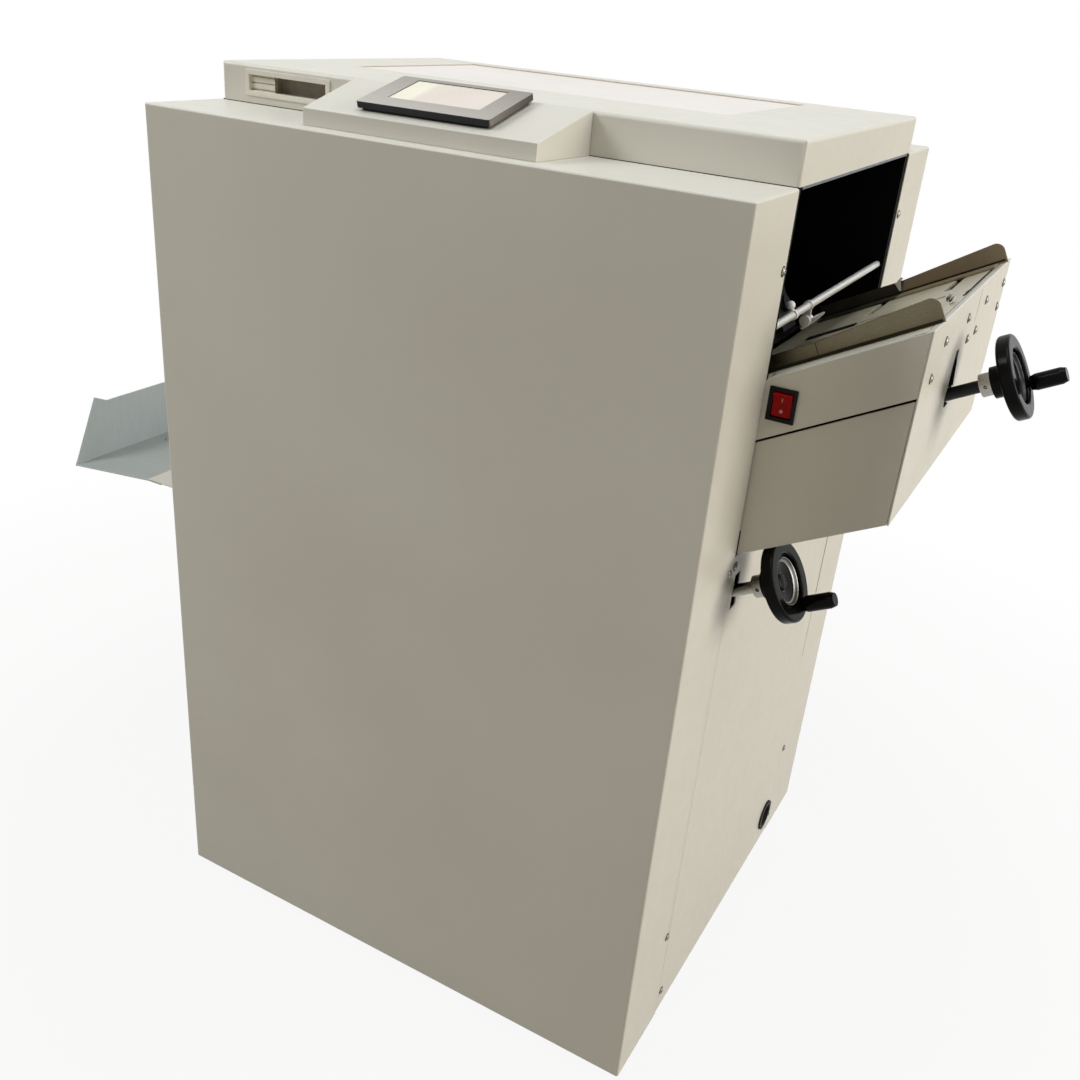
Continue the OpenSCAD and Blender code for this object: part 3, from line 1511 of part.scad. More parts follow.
module fold_knife() color(steel) slope() translate([fold_at, 0, 0]) {
  difference() {
    block([-carrier_half, -inner + roller_end_gap / 2, carrier_low],
          [carrier_half, inner - roller_end_gap / 2, carrier_low + carrier_h]);
    for (side = [-1, 1])
      bar_z([0, side * post_y], post_r + run_fit, carrier_low - eps, carrier_low + carrier_h + eps);
  }
  block([-knife_t / 2, inner_gap - inner, knife_low],
        [knife_t / 2, inner - inner_gap, carrier_low + eps]);
  bar_z([0, 0], post_r, carrier_low + carrier_h - eps, bridge_low + bridge_h + ram_rod_in);
}

// Involute gear on pitch circle of a fold roller
gear_pitch = gear_step / 2;
gear_module = gear_step / gear_teeth;
gear_base = gear_pitch * cos(gear_pressure);
gear_tip = gear_pitch + gear_addendum * gear_module;
gear_root = gear_pitch - gear_dedendum * gear_module;
flank_points = 4;
function involute_deg(r) = let (t = sqrt(max(0, pow(r / gear_base, 2) - 1))) t * 180 / PI - atan(t);
tooth_half_deg = 90 / gear_teeth - gear_play / 4 / gear_pitch * 180 / PI;
function flank_deg(r) = tooth_half_deg + involute_deg(gear_pitch) - involute_deg(max(r, gear_base));
function flank_r(i) = gear_root + (gear_tip - gear_root) * i / (flank_points - 1);
function polar(r, deg) = [r * cos(deg), r * sin(deg)];

module gear_outline() {
  polygon([for (tooth = [0 : gear_teeth - 1], side = [-1, 1], i = [0 : flank_points - 1])
    let (r = flank_r(side < 0 ? i : flank_points - 1 - i))
    polar(r, tooth * 360 / gear_teeth + side * flank_deg(r))]);
}

// Fold roller with its shaft, gear and belt pulley
module fold_roller(a, turn, pulley_y0, pulley_y1) {
  place = [cab_x(a, -fold_drop), cab_z(a, -fold_drop)];
  cab() {
    bar_y(place, fold_r, mid_y - inner + roller_end_gap, mid_y + inner - roller_end_gap);
    bar_y(place, fold_shaft_r, pulley_y0, rear_y);
    bar_y(place, pulley_r, pulley_y0, pulley_y1);
  }
  slope() translate([a, gear_y1 - mid_y, -fold_drop]) rotate([90, 0, 0])
    linear_extrude(gear_w) rotate(turn) gear_outline();
}

module fold_roller_low() color(roller_black) fold_roller(roller_a, 0, belt_a_y0, belt_a_y1);

module fold_roller_high() color(roller_black)
  fold_roller(roller_b, 180 / gear_teeth, belt_b_y0, belt_b_y1);

module conveyor_roller(place, y0) {
  bar_y(place, conveyor_r, mid_y - inner + inner_gap, mid_y + inner - inner_gap);
  bar_y(place, conveyor_shaft_r, y0, rear_y);
}

module conveyor_drive() color(steel) cab() {
  conveyor_roller(conveyor_in, belt_b_y0);
  bar_y(conveyor_in, pulley_r, belt_b_y0, belt_b_y1);
}

module conveyor_idler() color(steel) cab() conveyor_roller(conveyor_out, plate_y);

// Belt round two equal pulleys, as cabinet places
module belt(from, to, r, y0, y1) {
  profile_xz(y0, y1) difference() {
    belt_outline(from, to, r + belt_gap + belt_t);
    belt_outline(from, to, r + belt_gap);
  }
}

module belt_outline(from, to, r) {
  span = norm(to - from);
  translate(from) rotate(atan2(to[1] - from[1], to[0] - from[0])) {
    circle(r);
    translate([span, 0]) circle(r);
    translate([0, -r]) square([span, 2 * r]);
  }
}

module drive_belts() color(rubber) cab() {
  belt(motor_place, a_place, pulley_r, belt_a_y0, belt_a_y1);
  belt(conveyor_in, b_place, pulley_r, belt_b_y0, belt_b_y1);
  for (side = [-1, 1])
    belt(conveyor_out, conveyor_in, conveyor_r,
         mid_y + side * conveyor_belt_y - conveyor_belt_w / 2,
         mid_y + side * conveyor_belt_y + conveyor_belt_w / 2);
}

module drive_motor() color(motor_grey) cab() difference() {
  y0 = inner_y;
  union() {
    block([motor_place[0] - gearbox_w / 2, y0, motor_z - gearbox_w / 2],
          [motor_place[0] + gearbox_w / 2, y0 + gearbox_len, motor_z + gearbox_w / 2]);
    bar_y(motor_place, motor_r, y0 + gearbox_len - eps, y0 + gearbox_len + motor_len);
  }
  bar_y(motor_place, motor_shaft_r + run_fit, y0 - eps, y0 + gearbox_len / 2);
}

module motor_pulley() color(steel) cab() {
  bar_y(motor_place, motor_shaft_r, belt_a_y0, inner_y + gearbox_len / 3);
  bar_y(motor_place, pulley_r, belt_a_y0, belt_a_y1);
}

module control_box() color(box_grey) cab() translate([0, rear_y, 0]) difference() {
  block([-control_x - control_w, 0, control_z], [-control_x, control_d, control_z + control_h]);
  block([sheet - control_x - control_w, -eps, control_z + sheet],
        [-control_x - sheet, control_d - sheet, control_z + control_h - sheet]);
}

// Chute from outlet to tray, with a flange on left panel and two gussets
module outlet_chute() color(paint) cab() {
  left = -cab_w;
  profile_xz(tray_y0 + outlet_inset, tray_y1 - outlet_inset)
    polygon([[left - sheet, chute_z - sheet], [left + sheet, chute_z - sheet],
             [left + sheet, chute_z], [left - sheet, chute_z]]);
  profile_xz(tray_y0, tray_y1)
    polygon([[left, chute_z - sheet], [left, chute_z],
             [left - chute_reach, chute_end_z], [left - chute_reach, chute_end_z - sheet]]);
  block([left - sheet, tray_y0, chute_z - chute_flange], [left, tray_y1, chute_z - sheet / 2]);
  for (y = [tray_y0 + gusset_inset, tray_y1 - gusset_inset])
    profile_xz(y - sheet, y)
      polygon([[left - sheet / 2, chute_z - sheet / 2], [left - sheet / 2, chute_z - chute_flange],
               [left - gusset_len, chute_z - sheet / 2 - chute_drop * gusset_len / chute_reach]]);
}

// Catch tray: sloping floor under chute's end, and an end wall with slanted, eared corners
module catch_tray() color(tray_grey) cab() {
  left = -cab_w;
  lap_x = left - chute_reach + tray_lap;
  lap_z = chute_end_z - sheet + chute_drop * tray_lap / chute_reach;
  profile_xz(tray_y0, tray_y1)
    polygon([[lap_x, lap_z - sheet], [lap_x, lap_z], [left - chute_reach, chute_end_z - sheet],
             [left - tray_reach, tray_foot_z], [left - tray_reach, tray_foot_z - sheet],
             [left - chute_reach, chute_end_z - 2 * sheet]]);
  tip = tray_wall_h + tray_ear_h;
  ear = tray_slant + tray_ear_w;
  translate([left - tray_reach, 0, tray_foot_z - sheet]) rotate([0, -tray_lean, 0])
    profile_yz(0, sheet) polygon([
      [tray_y0, 0], [tray_y0 + tray_slant, tip], [tray_y0 + ear, tray_wall_h],
      [tray_y1 - ear, tray_wall_h], [tray_y1 - tray_slant, tip], [tray_y1, 0]]);
}

base_plate();
levelling_feet();
front_side_plate();
rear_side_plate();
frame_bars();
front_cover();
back_cover();
right_panel();
left_panel();
panel_screws();
cable_grommet();
hood();
hood_inset();
pull_handle();
hinge_fixed_leaves();
hinge_moving_leaves();
panel_housing();
touch_panel();
touch_screen();
infeed_front_side();
infeed_rear_side();
infeed_apron();
infeed_end_plate();
infeed_table();
front_guide();
rear_guide();
switch_bezel();
switch_rocker();
release_lever();
hold_down_arm();
arm_roller();
upper_screw();
upper_collar();
upper_wheel();
upper_grip();
lower_screw();
lower_wheel();
lower_grip();
stitch_stop();
fold_stop();
screw_bearings();
paper_beds();
stitch_beam();
stitch_heads();
stitch_drivers();
clincher_bar();
front_spool();
rear_spool();
knife_bridge();
fold_knife();
fold_roller_low();
fold_roller_high();
conveyor_drive();
conveyor_idler();
drive_belts();
drive_motor();
motor_pulley();
control_box();
outlet_chute();
catch_tray();
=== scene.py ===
"""Looks of the booklet maker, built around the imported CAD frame."""
import json
import math

import bmesh
import bpy
from mathutils import Matrix, Vector


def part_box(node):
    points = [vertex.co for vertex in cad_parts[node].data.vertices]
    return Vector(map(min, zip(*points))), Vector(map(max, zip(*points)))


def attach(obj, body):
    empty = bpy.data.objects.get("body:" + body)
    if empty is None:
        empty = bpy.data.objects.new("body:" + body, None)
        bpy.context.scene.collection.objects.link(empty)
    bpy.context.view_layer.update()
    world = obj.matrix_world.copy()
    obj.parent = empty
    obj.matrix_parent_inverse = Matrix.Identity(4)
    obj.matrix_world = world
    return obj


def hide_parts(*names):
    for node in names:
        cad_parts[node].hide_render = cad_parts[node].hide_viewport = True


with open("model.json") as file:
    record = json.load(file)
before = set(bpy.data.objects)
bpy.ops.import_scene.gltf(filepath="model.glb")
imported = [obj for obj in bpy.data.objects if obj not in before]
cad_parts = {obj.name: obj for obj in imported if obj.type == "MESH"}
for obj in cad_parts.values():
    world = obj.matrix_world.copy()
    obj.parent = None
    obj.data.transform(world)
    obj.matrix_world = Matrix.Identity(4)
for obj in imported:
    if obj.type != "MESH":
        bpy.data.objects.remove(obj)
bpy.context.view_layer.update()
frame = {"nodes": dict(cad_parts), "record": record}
scene = bpy.context.scene
MM = 0.001

# Places taken from the CAD boxes, in metres
cover_low, cover_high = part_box("front_cover")
CORNER = Vector((cover_high.x, cover_low.y, cover_low.z))
SLOPE = math.radians(28.5)
TABLE_RISE = 779
PANEL_TILT = math.radians(14.9)
SHADE_FADE = 1.5 * MM
RANGE_SOCKETS = ("From Min", "From Max", "To Min", "To Max")
EDGE_FLAT, EDGE_SHARP = 0.985, 0.80
POCKET_START, POCKET_END = 4 * MM, 9 * MM
SCREEN_STRIP = (0.20, 0.28)


def cab(x, y, z):
    """A place given in millimetres from the cabinet's right front bottom corner."""
    return CORNER + Vector((x, y, z)) * MM


def slope(along, across, up):
    """A place given in millimetres along, across and above the sloping table."""
    start = Vector((CORNER.x, 0, CORNER.z + TABLE_RISE * MM))
    cos, sin = math.cos(SLOPE), math.sin(SLOPE)
    return start + Vector((along * cos - up * sin, across, along * sin + up * cos)) * MM


def linear(red, green, blue):
    """Linear colour of an 8-bit screen colour."""
    parts = [((value / 255 + 0.055) / 1.055) ** 2.4 for value in (red, green, blue)]
    return (*parts, 1.0)


class Look:
    """A procedural material with short calls for its nodes."""

    def __init__(self, name, rough=0.4, metal=0.0, specular=0.5, aniso=0.0):
        self.material = bpy.data.materials.new(name)
        self.material.use_nodes = True
        self.tree = self.material.node_tree
        self.shader = self.tree.nodes["Principled BSDF"]
        self.shader.inputs["Roughness"].default_value = rough
        self.shader.inputs["Metallic"].default_value = metal
        self.shader.inputs["Specular IOR Level"].default_value = specular
        self.shader.inputs["Anisotropic"].default_value = aniso
        self.place = self.node("ShaderNodeTexCoord").outputs["Object"]
        self.height = None

    def node(self, kind, **settings):
        """A new node with some of its settings."""
        made = self.tree.nodes.new(kind)
        for key, value in settings.items():
            setattr(made, key, value)
        return made

    def link(self, start, end):
        """Joins two sockets."""
        self.tree.links.new(start, end)

    def noise(self, scale, detail=3.0, stretch=(1, 1, 1), turn=(0, 0, 0)):
        """Noise in the object's own place, stretched and turned."""
        mapping = self.node("ShaderNodeMapping")
        mapping.inputs["Scale"].default_value = stretch
        mapping.inputs["Rotation"].default_value = turn
        self.link(self.place, mapping.inputs["Vector"])
        noise = self.node("ShaderNodeTexNoise")
        noise.inputs["Scale"].default_value = scale
        noise.inputs["Detail"].default_value = detail
        self.link(mapping.outputs["Vector"], noise.inputs["Vector"])
        return noise.outputs["Fac"]

    def cells(self, scale):
        """Crystal cells, each with a colour of its own."""
        cell = self.node("ShaderNodeTexVoronoi")
        cell.inputs["Scale"].default_value = scale
        self.link(self.place, cell.inputs["Vector"])
        return cell.outputs["Color"]

    def axis(self, index):
        """One coordinate of the object's own place."""
        parts = self.node("ShaderNodeSeparateXYZ")
        self.link(self.place, parts.inputs["Vector"])
        return parts.outputs[index]

    def fit(self, value, low, high, to_low=0.0, to_high=1.0):
        """A value moved from one range to another, and held inside it."""
        fit = self.node("ShaderNodeMapRange")
        for name, number in zip(RANGE_SOCKETS, (low, high, to_low, to_high)):
            fit.inputs[name].default_value = number
        self.link(value, fit.inputs["Value"])
        return fit.outputs["Result"]

    def math(self, operation, first, second):
        """Arithmetic on numbers or sockets."""
        made = self.node("ShaderNodeMath", operation=operation)
        for socket, value in zip(made.inputs, (first, second)):
            if isinstance(value, (int, float)):
                socket.default_value = value
            else:
                self.link(value, socket)
        return made.outputs[0]

    def mix(self, factor, first, second):
        """A blend of two colours or sockets."""
        made = self.node("ShaderNodeMix", data_type="RGBA")
        self.link(factor, made.inputs["Factor"])
        for name, value in (("A", first), ("B", second)):
            socket = next(s for s in made.inputs if s.name == name and s.type == "RGBA")
            if isinstance(value, tuple):
                socket.default_value = value
            else:
                self.link(value, socket)
        return next(s for s in made.outputs if s.type == "RGBA")

    def edges(self, radius):
        """A mask that rises from nought on the flats to one on the sharp edges."""
        bevel = self.node("ShaderNodeBevel", samples=4)
        bevel.inputs["Radius"].default_value = radius
        shape = self.node("ShaderNodeNewGeometry")
        dot = self.node("ShaderNodeVectorMath", operation="DOT_PRODUCT")
        self.link(bevel.outputs["Normal"], dot.inputs[0])
        self.link(shape.outputs["Normal"], dot.inputs[1])
        return self.fit(dot.outputs["Value"], EDGE_FLAT, EDGE_SHARP)

    def patches(self, scale, detail, low=0.3, high=0.7):
        """Soft patches from nought to one, from the range of a noise."""
        return self.fit(self.noise(scale, detail), low, high)

    def rubbed(self, radius, scale, low, high, least=0.0, most=1.0):
        """Edges rubbed unevenly, from a radius in millimetres and the range of a noise."""
        rub = self.fit(self.noise(scale, 4.0), low, high, least, most)
        return self.math("MULTIPLY", self.edges(radius * MM), rub)

    def colour(self, value):
        """Sets the base colour."""
        self.link(value, self.shader.inputs["Base Color"])

    def rough(self, value):
        """Sets the roughness."""
        self.link(value, self.shader.inputs["Roughness"])

    def uneven(self, scale, detail, low, high):
        """Lets the roughness wander between two values."""
        self.rough(self.fit(self.noise(scale, detail), 0.3, 0.7, low, high))

    def bump(self, value, strength, depth):
        """Adds a height to the surface, over those that it has."""
        bump = self.node("ShaderNodeBump")
        bump.inputs["Strength"].default_value = strength
        bump.inputs["Distance"].default_value = depth
        self.link(value, bump.inputs["Height"])
        if self.height is not None:
            self.link(self.height, bump.inputs["Normal"])
        self.height = bump.outputs["Normal"]
        self.link(self.height, self.shader.inputs["Normal"])

    def grain(self, scale, detail, strength, depth):
        """Adds a fine relief with a depth in millimetres."""
        self.bump(self.noise(scale, detail), strength, depth * MM)


def paint(name, base, deep, worn, rough=0.42):
    """Powder coat: faint clouds, fine orange peel, smoother and paler on the folded edges, partly rubbed
    wear and partly a painted highlight.
    """
    look = Look(name, rough=rough)
    clouds = look.patches(4.0, 2.0, 0.35, 0.68)
    smudge = look.patches(23.0, 5.0, 0.52, 0.78)
    tone = look.mix(clouds, base, deep)
    marks = look.mix(look.math("MULTIPLY", smudge, 0.35), tone, deep)
    # Paler folded edges: partly rubbed wear, partly a painted highlight along the folds
    edge = look.rubbed(1.6, 90.0, 0.35, 0.7, 0.25, 0.9)
    look.colour(look.mix(edge, marks, worn))
    uneven = look.fit(look.noise(60.0, 3.0), 0.3, 0.7, rough - 0.05, rough + 0.08)
    look.rough(look.math("SUBTRACT", uneven, look.math("MULTIPLY", edge, 0.08)))
    look.grain(620.0, 2.0, 0.10, 0.25)
    look.grain(1500.0, 2.0, 0.05, 0.08)
    return look.material


def brushed(name, base, deep, stretch, rough=0.28, turn=(0, 0, 0), metal=1.0, relief=0.12, shaded_left_part=None):
    """Ground or brushed steel: streaks one way, bright worn edges, and painted shade that darkens it left of
    a place in x.
    """
    look = Look(name, rough=rough, metal=metal, aniso=0.35)
    streak = look.noise(420.0, 3.0, stretch, turn)
    clouds = look.patches(14.0, 3.0)
    tone = look.mix(look.fit(streak, 0.3, 0.7), deep, base)
    soft = look.mix(look.math("MULTIPLY", clouds, 0.45), tone, deep)
    edge = look.edges(0.8 * MM)
    worn = look.mix(look.math("MULTIPLY", edge, 0.6), soft, base)
    # Painted shade: the colour turns dark left of a place in x, where the far guide lies in shade
    if shaded_left_part:
        place, painted_shade_colour = shaded_left_part
        worn = look.mix(look.fit(look.axis(0), place - SHADE_FADE, place + SHADE_FADE), painted_shade_colour, worn)
    look.colour(worn)
    look.rough(look.fit(streak, 0.25, 0.75, rough - 0.06, rough + 0.10))
    look.bump(streak, relief, 0.06 * MM)
    return look.material


def moulded(name, base, deep, worn, rough=0.38, specular=0.5):
    """Moulded plastic: eroded grain, slight flow clouds and rubbed edges."""
    look = Look(name, rough=rough, specular=specular)
    clouds = look.patches(30.0, 3.0)
    tone = look.mix(clouds, base, deep)
    edge = look.rubbed(0.9, 150.0, 0.4, 0.7, 0.15, 0.7)
    look.colour(look.mix(edge, tone, worn))
    look.uneven(120.0, 4.0, rough - 0.05, rough + 0.07)
    look.grain(900.0, 2.0, 0.10, 0.06)
    return look.material


def dark_steel(name, base, deep, worn, rough=0.42, metal=0.55, specular=0.5):
    """Blackened steel: cloudy finish, rubbed bright along its edges."""
    look = Look(name, rough=rough, metal=metal, specular=specular)
    clouds = look.patches(45.0, 5.0, 0.3, 0.72)
    edge = look.rubbed(0.8, 200.0, 0.42, 0.66)
    look.colour(look.mix(edge, look.mix(clouds, base, deep), worn))
    look.uneven(160.0, 4.0, rough - 0.08, rough + 0.10)
    look.grain(1100.0, 3.0, 0.12, 0.05)
    return look.material


def galvanised(name, base, deep):
    """Zinc-coated sheet with its crystal pattern."""
    look = Look(name, rough=0.4, metal=0.85)
    grey = look.node("ShaderNodeRGBToBW")
    look.link(look.cells(95.0), grey.inputs["Color"])
    look.colour(look.mix(look.fit(grey.outputs["Val"], 0.1, 0.9), base, deep))
    look.rough(look.fit(grey.outputs["Val"], 0.0, 1.0, 0.30, 0.52))
    look.grain(400.0, 3.0, 0.08, 0.05)
    return look.material


def rubber(name, base, worn, ribs=None, shine=0.35):
    """Dull rubber with dust in its pores, and fine ribs where it is a belt."""
    look = Look(name, rough=0.75, specular=shine)
    dust = look.patches(70.0, 5.0, 0.45, 0.8)
    edge = look.math("MULTIPLY", look.edges(1.0 * MM), 0.5)
    look.colour(look.mix(look.math("MAXIMUM", look.math("MULTIPLY", dust, 0.5), edge), base, worn))
    look.uneven(200.0, 3.0, 0.66, 0.86)
    look.grain(ribs or 1300.0, 3.0, 0.2, 0.08)
    return look.material


def glossy_black(name):
    """Polished black moulding: faint swirls under a gloss, dulled where hands rub it."""
    look = Look(name, rough=0.16, specular=0.06)
    swirl = look.patches(60.0, 5.0, 0.35, 0.75)
    edge = look.rubbed(0.9, 220.0, 0.45, 0.7)
    tone = look.mix(swirl, linear(9, 9, 9), linear(18, 17, 16))
    look.colour(look.mix(edge, tone, linear(38, 37, 34)))
    look.rough(look.fit(look.noise(110.0, 5.0), 0.35, 0.75, 0.12, 0.26))
    look.grain(300.0, 2.0, 0.04, 0.05)
    return look.material


def screen_look(name):
    """Touch screen film: pale, glossy, brighter to its left, with a faint fine grain."""
    low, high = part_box("touch_screen")
    look = Look(name, rough=0.18, specular=0.45)
    across = look.fit(look.axis(0), low.x, high.x)
    strip = look.fit(across, *SCREEN_STRIP)
    tone = look.mix(strip, linear(240, 236, 214), linear(226, 215, 203))
    shade = look.patches(22.0, 3.0, 0.35, 0.75)
    look.colour(look.mix(look.math("MULTIPLY", shade, 0.4), tone, linear(212, 199, 188)))
    look.uneven(240.0, 2.0, 0.14, 0.24)
    look.grain(1800.0, 1.0, 0.03, 0.03)
    return look.material


def panel_look(name):
    """Touch panel case: satin silver on its face with a painted sheen, darker to the back and right; brown
    grey on its right side as painted light, darker to the back; else near black.
    """
    look = Look(name, rough=0.4, specular=0.25)
    low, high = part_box("touch_panel")
    shape = look.node("ShaderNodeTexCoord")
    dot = look.node("ShaderNodeVectorMath", operation="DOT_PRODUCT")
    look.link(shape.outputs["Normal"], dot.inputs[0])
    dot.inputs[1].default_value = (0, -math.sin(PANEL_TILT), math.cos(PANEL_TILT))
    face = look.fit(dot.outputs["Value"], 0.80, 0.93)
    parts = look.node("ShaderNodeSeparateXYZ")
    look.link(shape.outputs["Normal"], parts.inputs["Vector"])
    right_side = look.fit(parts.outputs[0], 0.6, 0.9)
    # Painted sheen: the silver face darkens toward the back and the right
    deeper = look.fit(look.axis(1), low.y, high.y, 0.0, 0.7)
    sheen = look.math("ADD", deeper, look.fit(look.axis(0), low.x, high.x, 0.0, 0.3))
    fleck = look.patches(1600.0, 2.0)
    silver = look.mix(sheen, linear(184, 179, 172), linear(134, 127, 120))
    grainy = look.mix(look.math("MULTIPLY", fleck, 0.12), silver, linear(204, 200, 194))
    # Painted light: the right side is brown grey, as if lit, and darkens toward the back; the other sides
    # stay near black
    side = look.mix(look.patches(60.0, 4.0), linear(13, 14, 17), linear(26, 27, 31))
    back = look.fit(look.axis(1), low.y, high.y)
    lit = look.mix(back, linear(126, 121, 112), linear(52, 50, 46))
    look.colour(look.mix(face, look.mix(right_side, side, lit), grainy))
    look.uneven(300.0, 3.0, 0.34, 0.46)
    look.grain(1400.0, 2.0, 0.02, 0.02)
    return look.material


def tray_look(name):
    """Grey enamel in a lit and a shaded copy, as painted light: paler and bluer where it stands up, darker
    and greyer on the floor.
    """
    look = Look(name, rough=0.36, specular=0.4)
    parts = look.node("ShaderNodeSeparateXYZ")
    look.link(look.node("ShaderNodeTexCoord").outputs["Normal"], parts.inputs["Vector"])
    # Painted light: the standing part of the tray gets a paler, bluer enamel than the floor, standing in for
    # light it does not get
    tray_lit_part_mask = look.fit(look.math("ABSOLUTE", parts.outputs[0], 0.0), 0.5, 0.9)
    clouds = look.patches(9.0, 2.0, 0.35, 0.68)
    painted_lit_tray_side = look.mix(clouds, linear(232, 237, 240), linear(224, 232, 232))
    bed = look.mix(clouds, linear(166, 172, 168), linear(159, 166, 162))
    scuff = look.fit(look.noise(40.0, 5.0, (1, 6, 1)), 0.52, 0.8)
    tone = look.mix(tray_lit_part_mask, bed, painted_lit_tray_side)
    marks = look.mix(look.math("MULTIPLY", scuff, 0.25), tone, linear(190, 196, 194))
    edge = look.rubbed(1.6, 90.0, 0.35, 0.7, 0.3, 0.9)
    look.colour(look.mix(edge, marks, linear(224, 228, 227)))
    look.uneven(70.0, 3.0, 0.30, 0.42)
    look.grain(700.0, 2.0, 0.08, 0.2)
    return look.material


def pull_look(name):
    """Ivory moulding of the flush pull, darker in the depth of its pocket as painted shade."""
    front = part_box("pull_handle")[0].y
    look = Look(name, rough=0.42, specular=0.4)
    clouds = look.patches(30.0, 3.0)
    tone = look.mix(clouds, linear(228, 224, 212), linear(219, 214, 200))
    # Painted shade: the moulding darkens with depth into the pocket, where shade falls
    depth = look.fit(look.axis(1), front + POCKET_START, front + POCKET_END)
    patches = look.patches(80.0, 4.0)
    painted_pocket_shade = look.mix(patches, linear(150, 141, 124), linear(128, 119, 102))
    edge = look.rubbed(0.9, 150.0, 0.4, 0.7, 0.15, 0.7)
    look.colour(look.mix(edge, look.mix(depth, tone, painted_pocket_shade), linear(240, 237, 228)))
    look.uneven(120.0, 4.0, 0.36, 0.50)
    look.grain(900.0, 2.0, 0.10, 0.06)
    return look.material


# Looks of the material slots
LOOKS = {
    "cabinet_paint": paint("cabinet_powder_coat", linear(214, 211, 201), linear(208, 205, 194),
                           linear(228, 225, 216)),
    "bright_steel": brushed("ground_steel", linear(196, 194, 188), linear(140, 137, 130), (1, 1, 14)),
    "black_steel": dark_steel("blackened_steel", linear(16, 16, 17), linear(10, 10, 11),
                              linear(40, 39, 38)),
    "foot_rubber": rubber("black_rubber", linear(22, 22, 23), linear(60, 59, 57)),
    "belt_rubber": rubber("belt_rubber", linear(30, 30, 31), linear(70, 68, 64), 700.0),
    "ivory_plastic": moulded("ivory_moulding", linear(228, 224, 212), linear(219, 214, 200),
                             linear(240, 237, 228)),
    "grey_plastic": panel_look("panel_case"),
    "screen_film": screen_look("screen_film"),
    "table_steel": paint("table_enamel", linear(208, 199, 174), linear(196, 187, 162),
                         linear(226, 220, 204), 0.34),
    "black_plastic": moulded("black_moulding", linear(14, 10, 10), linear(20, 15, 15),
                             linear(44, 36, 34), 0.36, 0.12),
    "red_plastic": moulded("red_moulding", linear(178, 8, 14), linear(146, 4, 10),
                           linear(196, 34, 34), 0.3, 0.10),
    "white_plastic": moulded("white_moulding", linear(250, 249, 245), linear(242, 241, 236),
                             linear(252, 251, 249)),
    "black_bakelite": glossy_black("polished_bakelite"),
    "head_steel": dark_steel("head_steel", linear(52, 53, 56), linear(40, 41, 44),
                             linear(104, 104, 102), 0.4, 0.6),
    "stitching_wire": brushed("stitching_wire", linear(206, 200, 188), linear(150, 143, 130),
                              (1, 12, 1), 0.3),
    "roller_steel": dark_steel("roller_steel", linear(58, 59, 62), linear(42, 43, 46),
                               linear(140, 139, 136), 0.34, 0.8),
    "motor_paint": paint("motor_enamel", linear(74, 80, 88), linear(62, 67, 74),
                         linear(120, 124, 130), 0.36),
    "case_steel": galvanised("galvanised_sheet", linear(196, 199, 202), linear(160, 164, 168)),
    "tray_paint": tray_look("tray_enamel"),
}

# Looks of single nodes and of the small pieces
UPHILL = (0, -SLOPE, 0)
# Place in x left of which the far guide is painted dark, as painted shade
FAR_GUIDE_SHADE_X = CORNER.x + 30 * MM
LID = paint("lid_powder_coat", linear(230, 224, 219), linear(223, 216, 209), linear(238, 233, 228), 0.40)
# Pinkish brown of the painted shade along the lid's recess
LID_RECESS_SHADE = paint("lid_recess_shade_coat", linear(186, 160, 146), linear(168, 142, 128), linear(205, 184, 172), 0.5)
# Painted reflection: the near guide's brushed steel is tinted dark olive brown, standing in for a brown room
# reflected in it
GUIDE = brushed("brushed_stainless", linear(126, 118, 98), linear(84, 77, 60), (1, 1, 40), 0.3, UPHILL,
                relief=0.02)
# Painted light: the far guide is a paler, nearly non-metallic copy of the guides' brushed steel, so it reads
# bright where it lies in shade
FAR_GUIDE_LIT_COPY = brushed("brushed_stainless_far_lit_copy", linear(170, 152, 125), linear(142, 126, 100), (1, 1, 40), 0.36,
                    UPHILL, 0.1, 0.02, (FAR_GUIDE_SHADE_X, linear(58, 54, 42)))
SHAFT = brushed("turned_shaft", linear(176, 174, 166), linear(128, 126, 118), (30, 1, 1), 0.26, UPHILL)
RING_STEEL = brushed("dull_ring_steel", linear(150, 150, 148), linear(110, 109, 106), (30, 1, 1), 0.32,
                     UPHILL)
ROD = brushed("polished_rod", linear(240, 240, 238), linear(214, 213, 210), (14, 1, 14), 0.3,
              metal=0.3, relief=0.04)
EAR_LOOK = brushed("bright_ear", linear(250, 249, 244), linear(232, 230, 222), (1, 1, 6), 0.4,
                   metal=0.0, relief=0.04)
SCREW = brushed("zinc_screw", linear(176, 174, 167), linear(100, 98, 92), (1, 1, 1), 0.38)
MARK = moulded("rocker_mark", linear(214, 150, 146), linear(196, 128, 124), linear(226, 172, 168), 0.4, 0.1)
CAP = glossy_black("hub_cap_black")
SEAM = rubber("seam_shadow", linear(46, 41, 33), linear(66, 60, 50), shine=0.1)
PLATE = dark_steel("matt_black_plate", linear(8, 8, 8), linear(5, 5, 6), linear(16, 16, 16), 0.6, 0.0, 0.05)
TRIM = rubber("black_edge_trim", linear(7, 7, 7), linear(15, 14, 13), shine=0.05)

OWN_LOOK = {
    "hood_inset": LID, "front_guide": GUIDE, "rear_guide": FAR_GUIDE_LIT_COPY, "lower_screw": SHAFT,
    "upper_collar": SHAFT, "panel_screws": SCREW, "frame_bars": ROD, "hold_down_arm": ROD,
    "front_side_plate": PLATE, "rear_side_plate": PLATE, "pull_handle": pull_look("pull_moulding"),
}
SLOT_OF = {row["node"]: row["material_slot"] for row in frame["record"]["subparts"]}
BODY_OF = {}
for body_name, members in frame["record"]["behaviour"]["bodies"].items():
    for member in members:
        BODY_OF[member] = body_name


def wear(piece, material):
    """Gives a piece one material in place of all that it had."""
    piece.data.materials.clear()
    piece.data.materials.append(material)


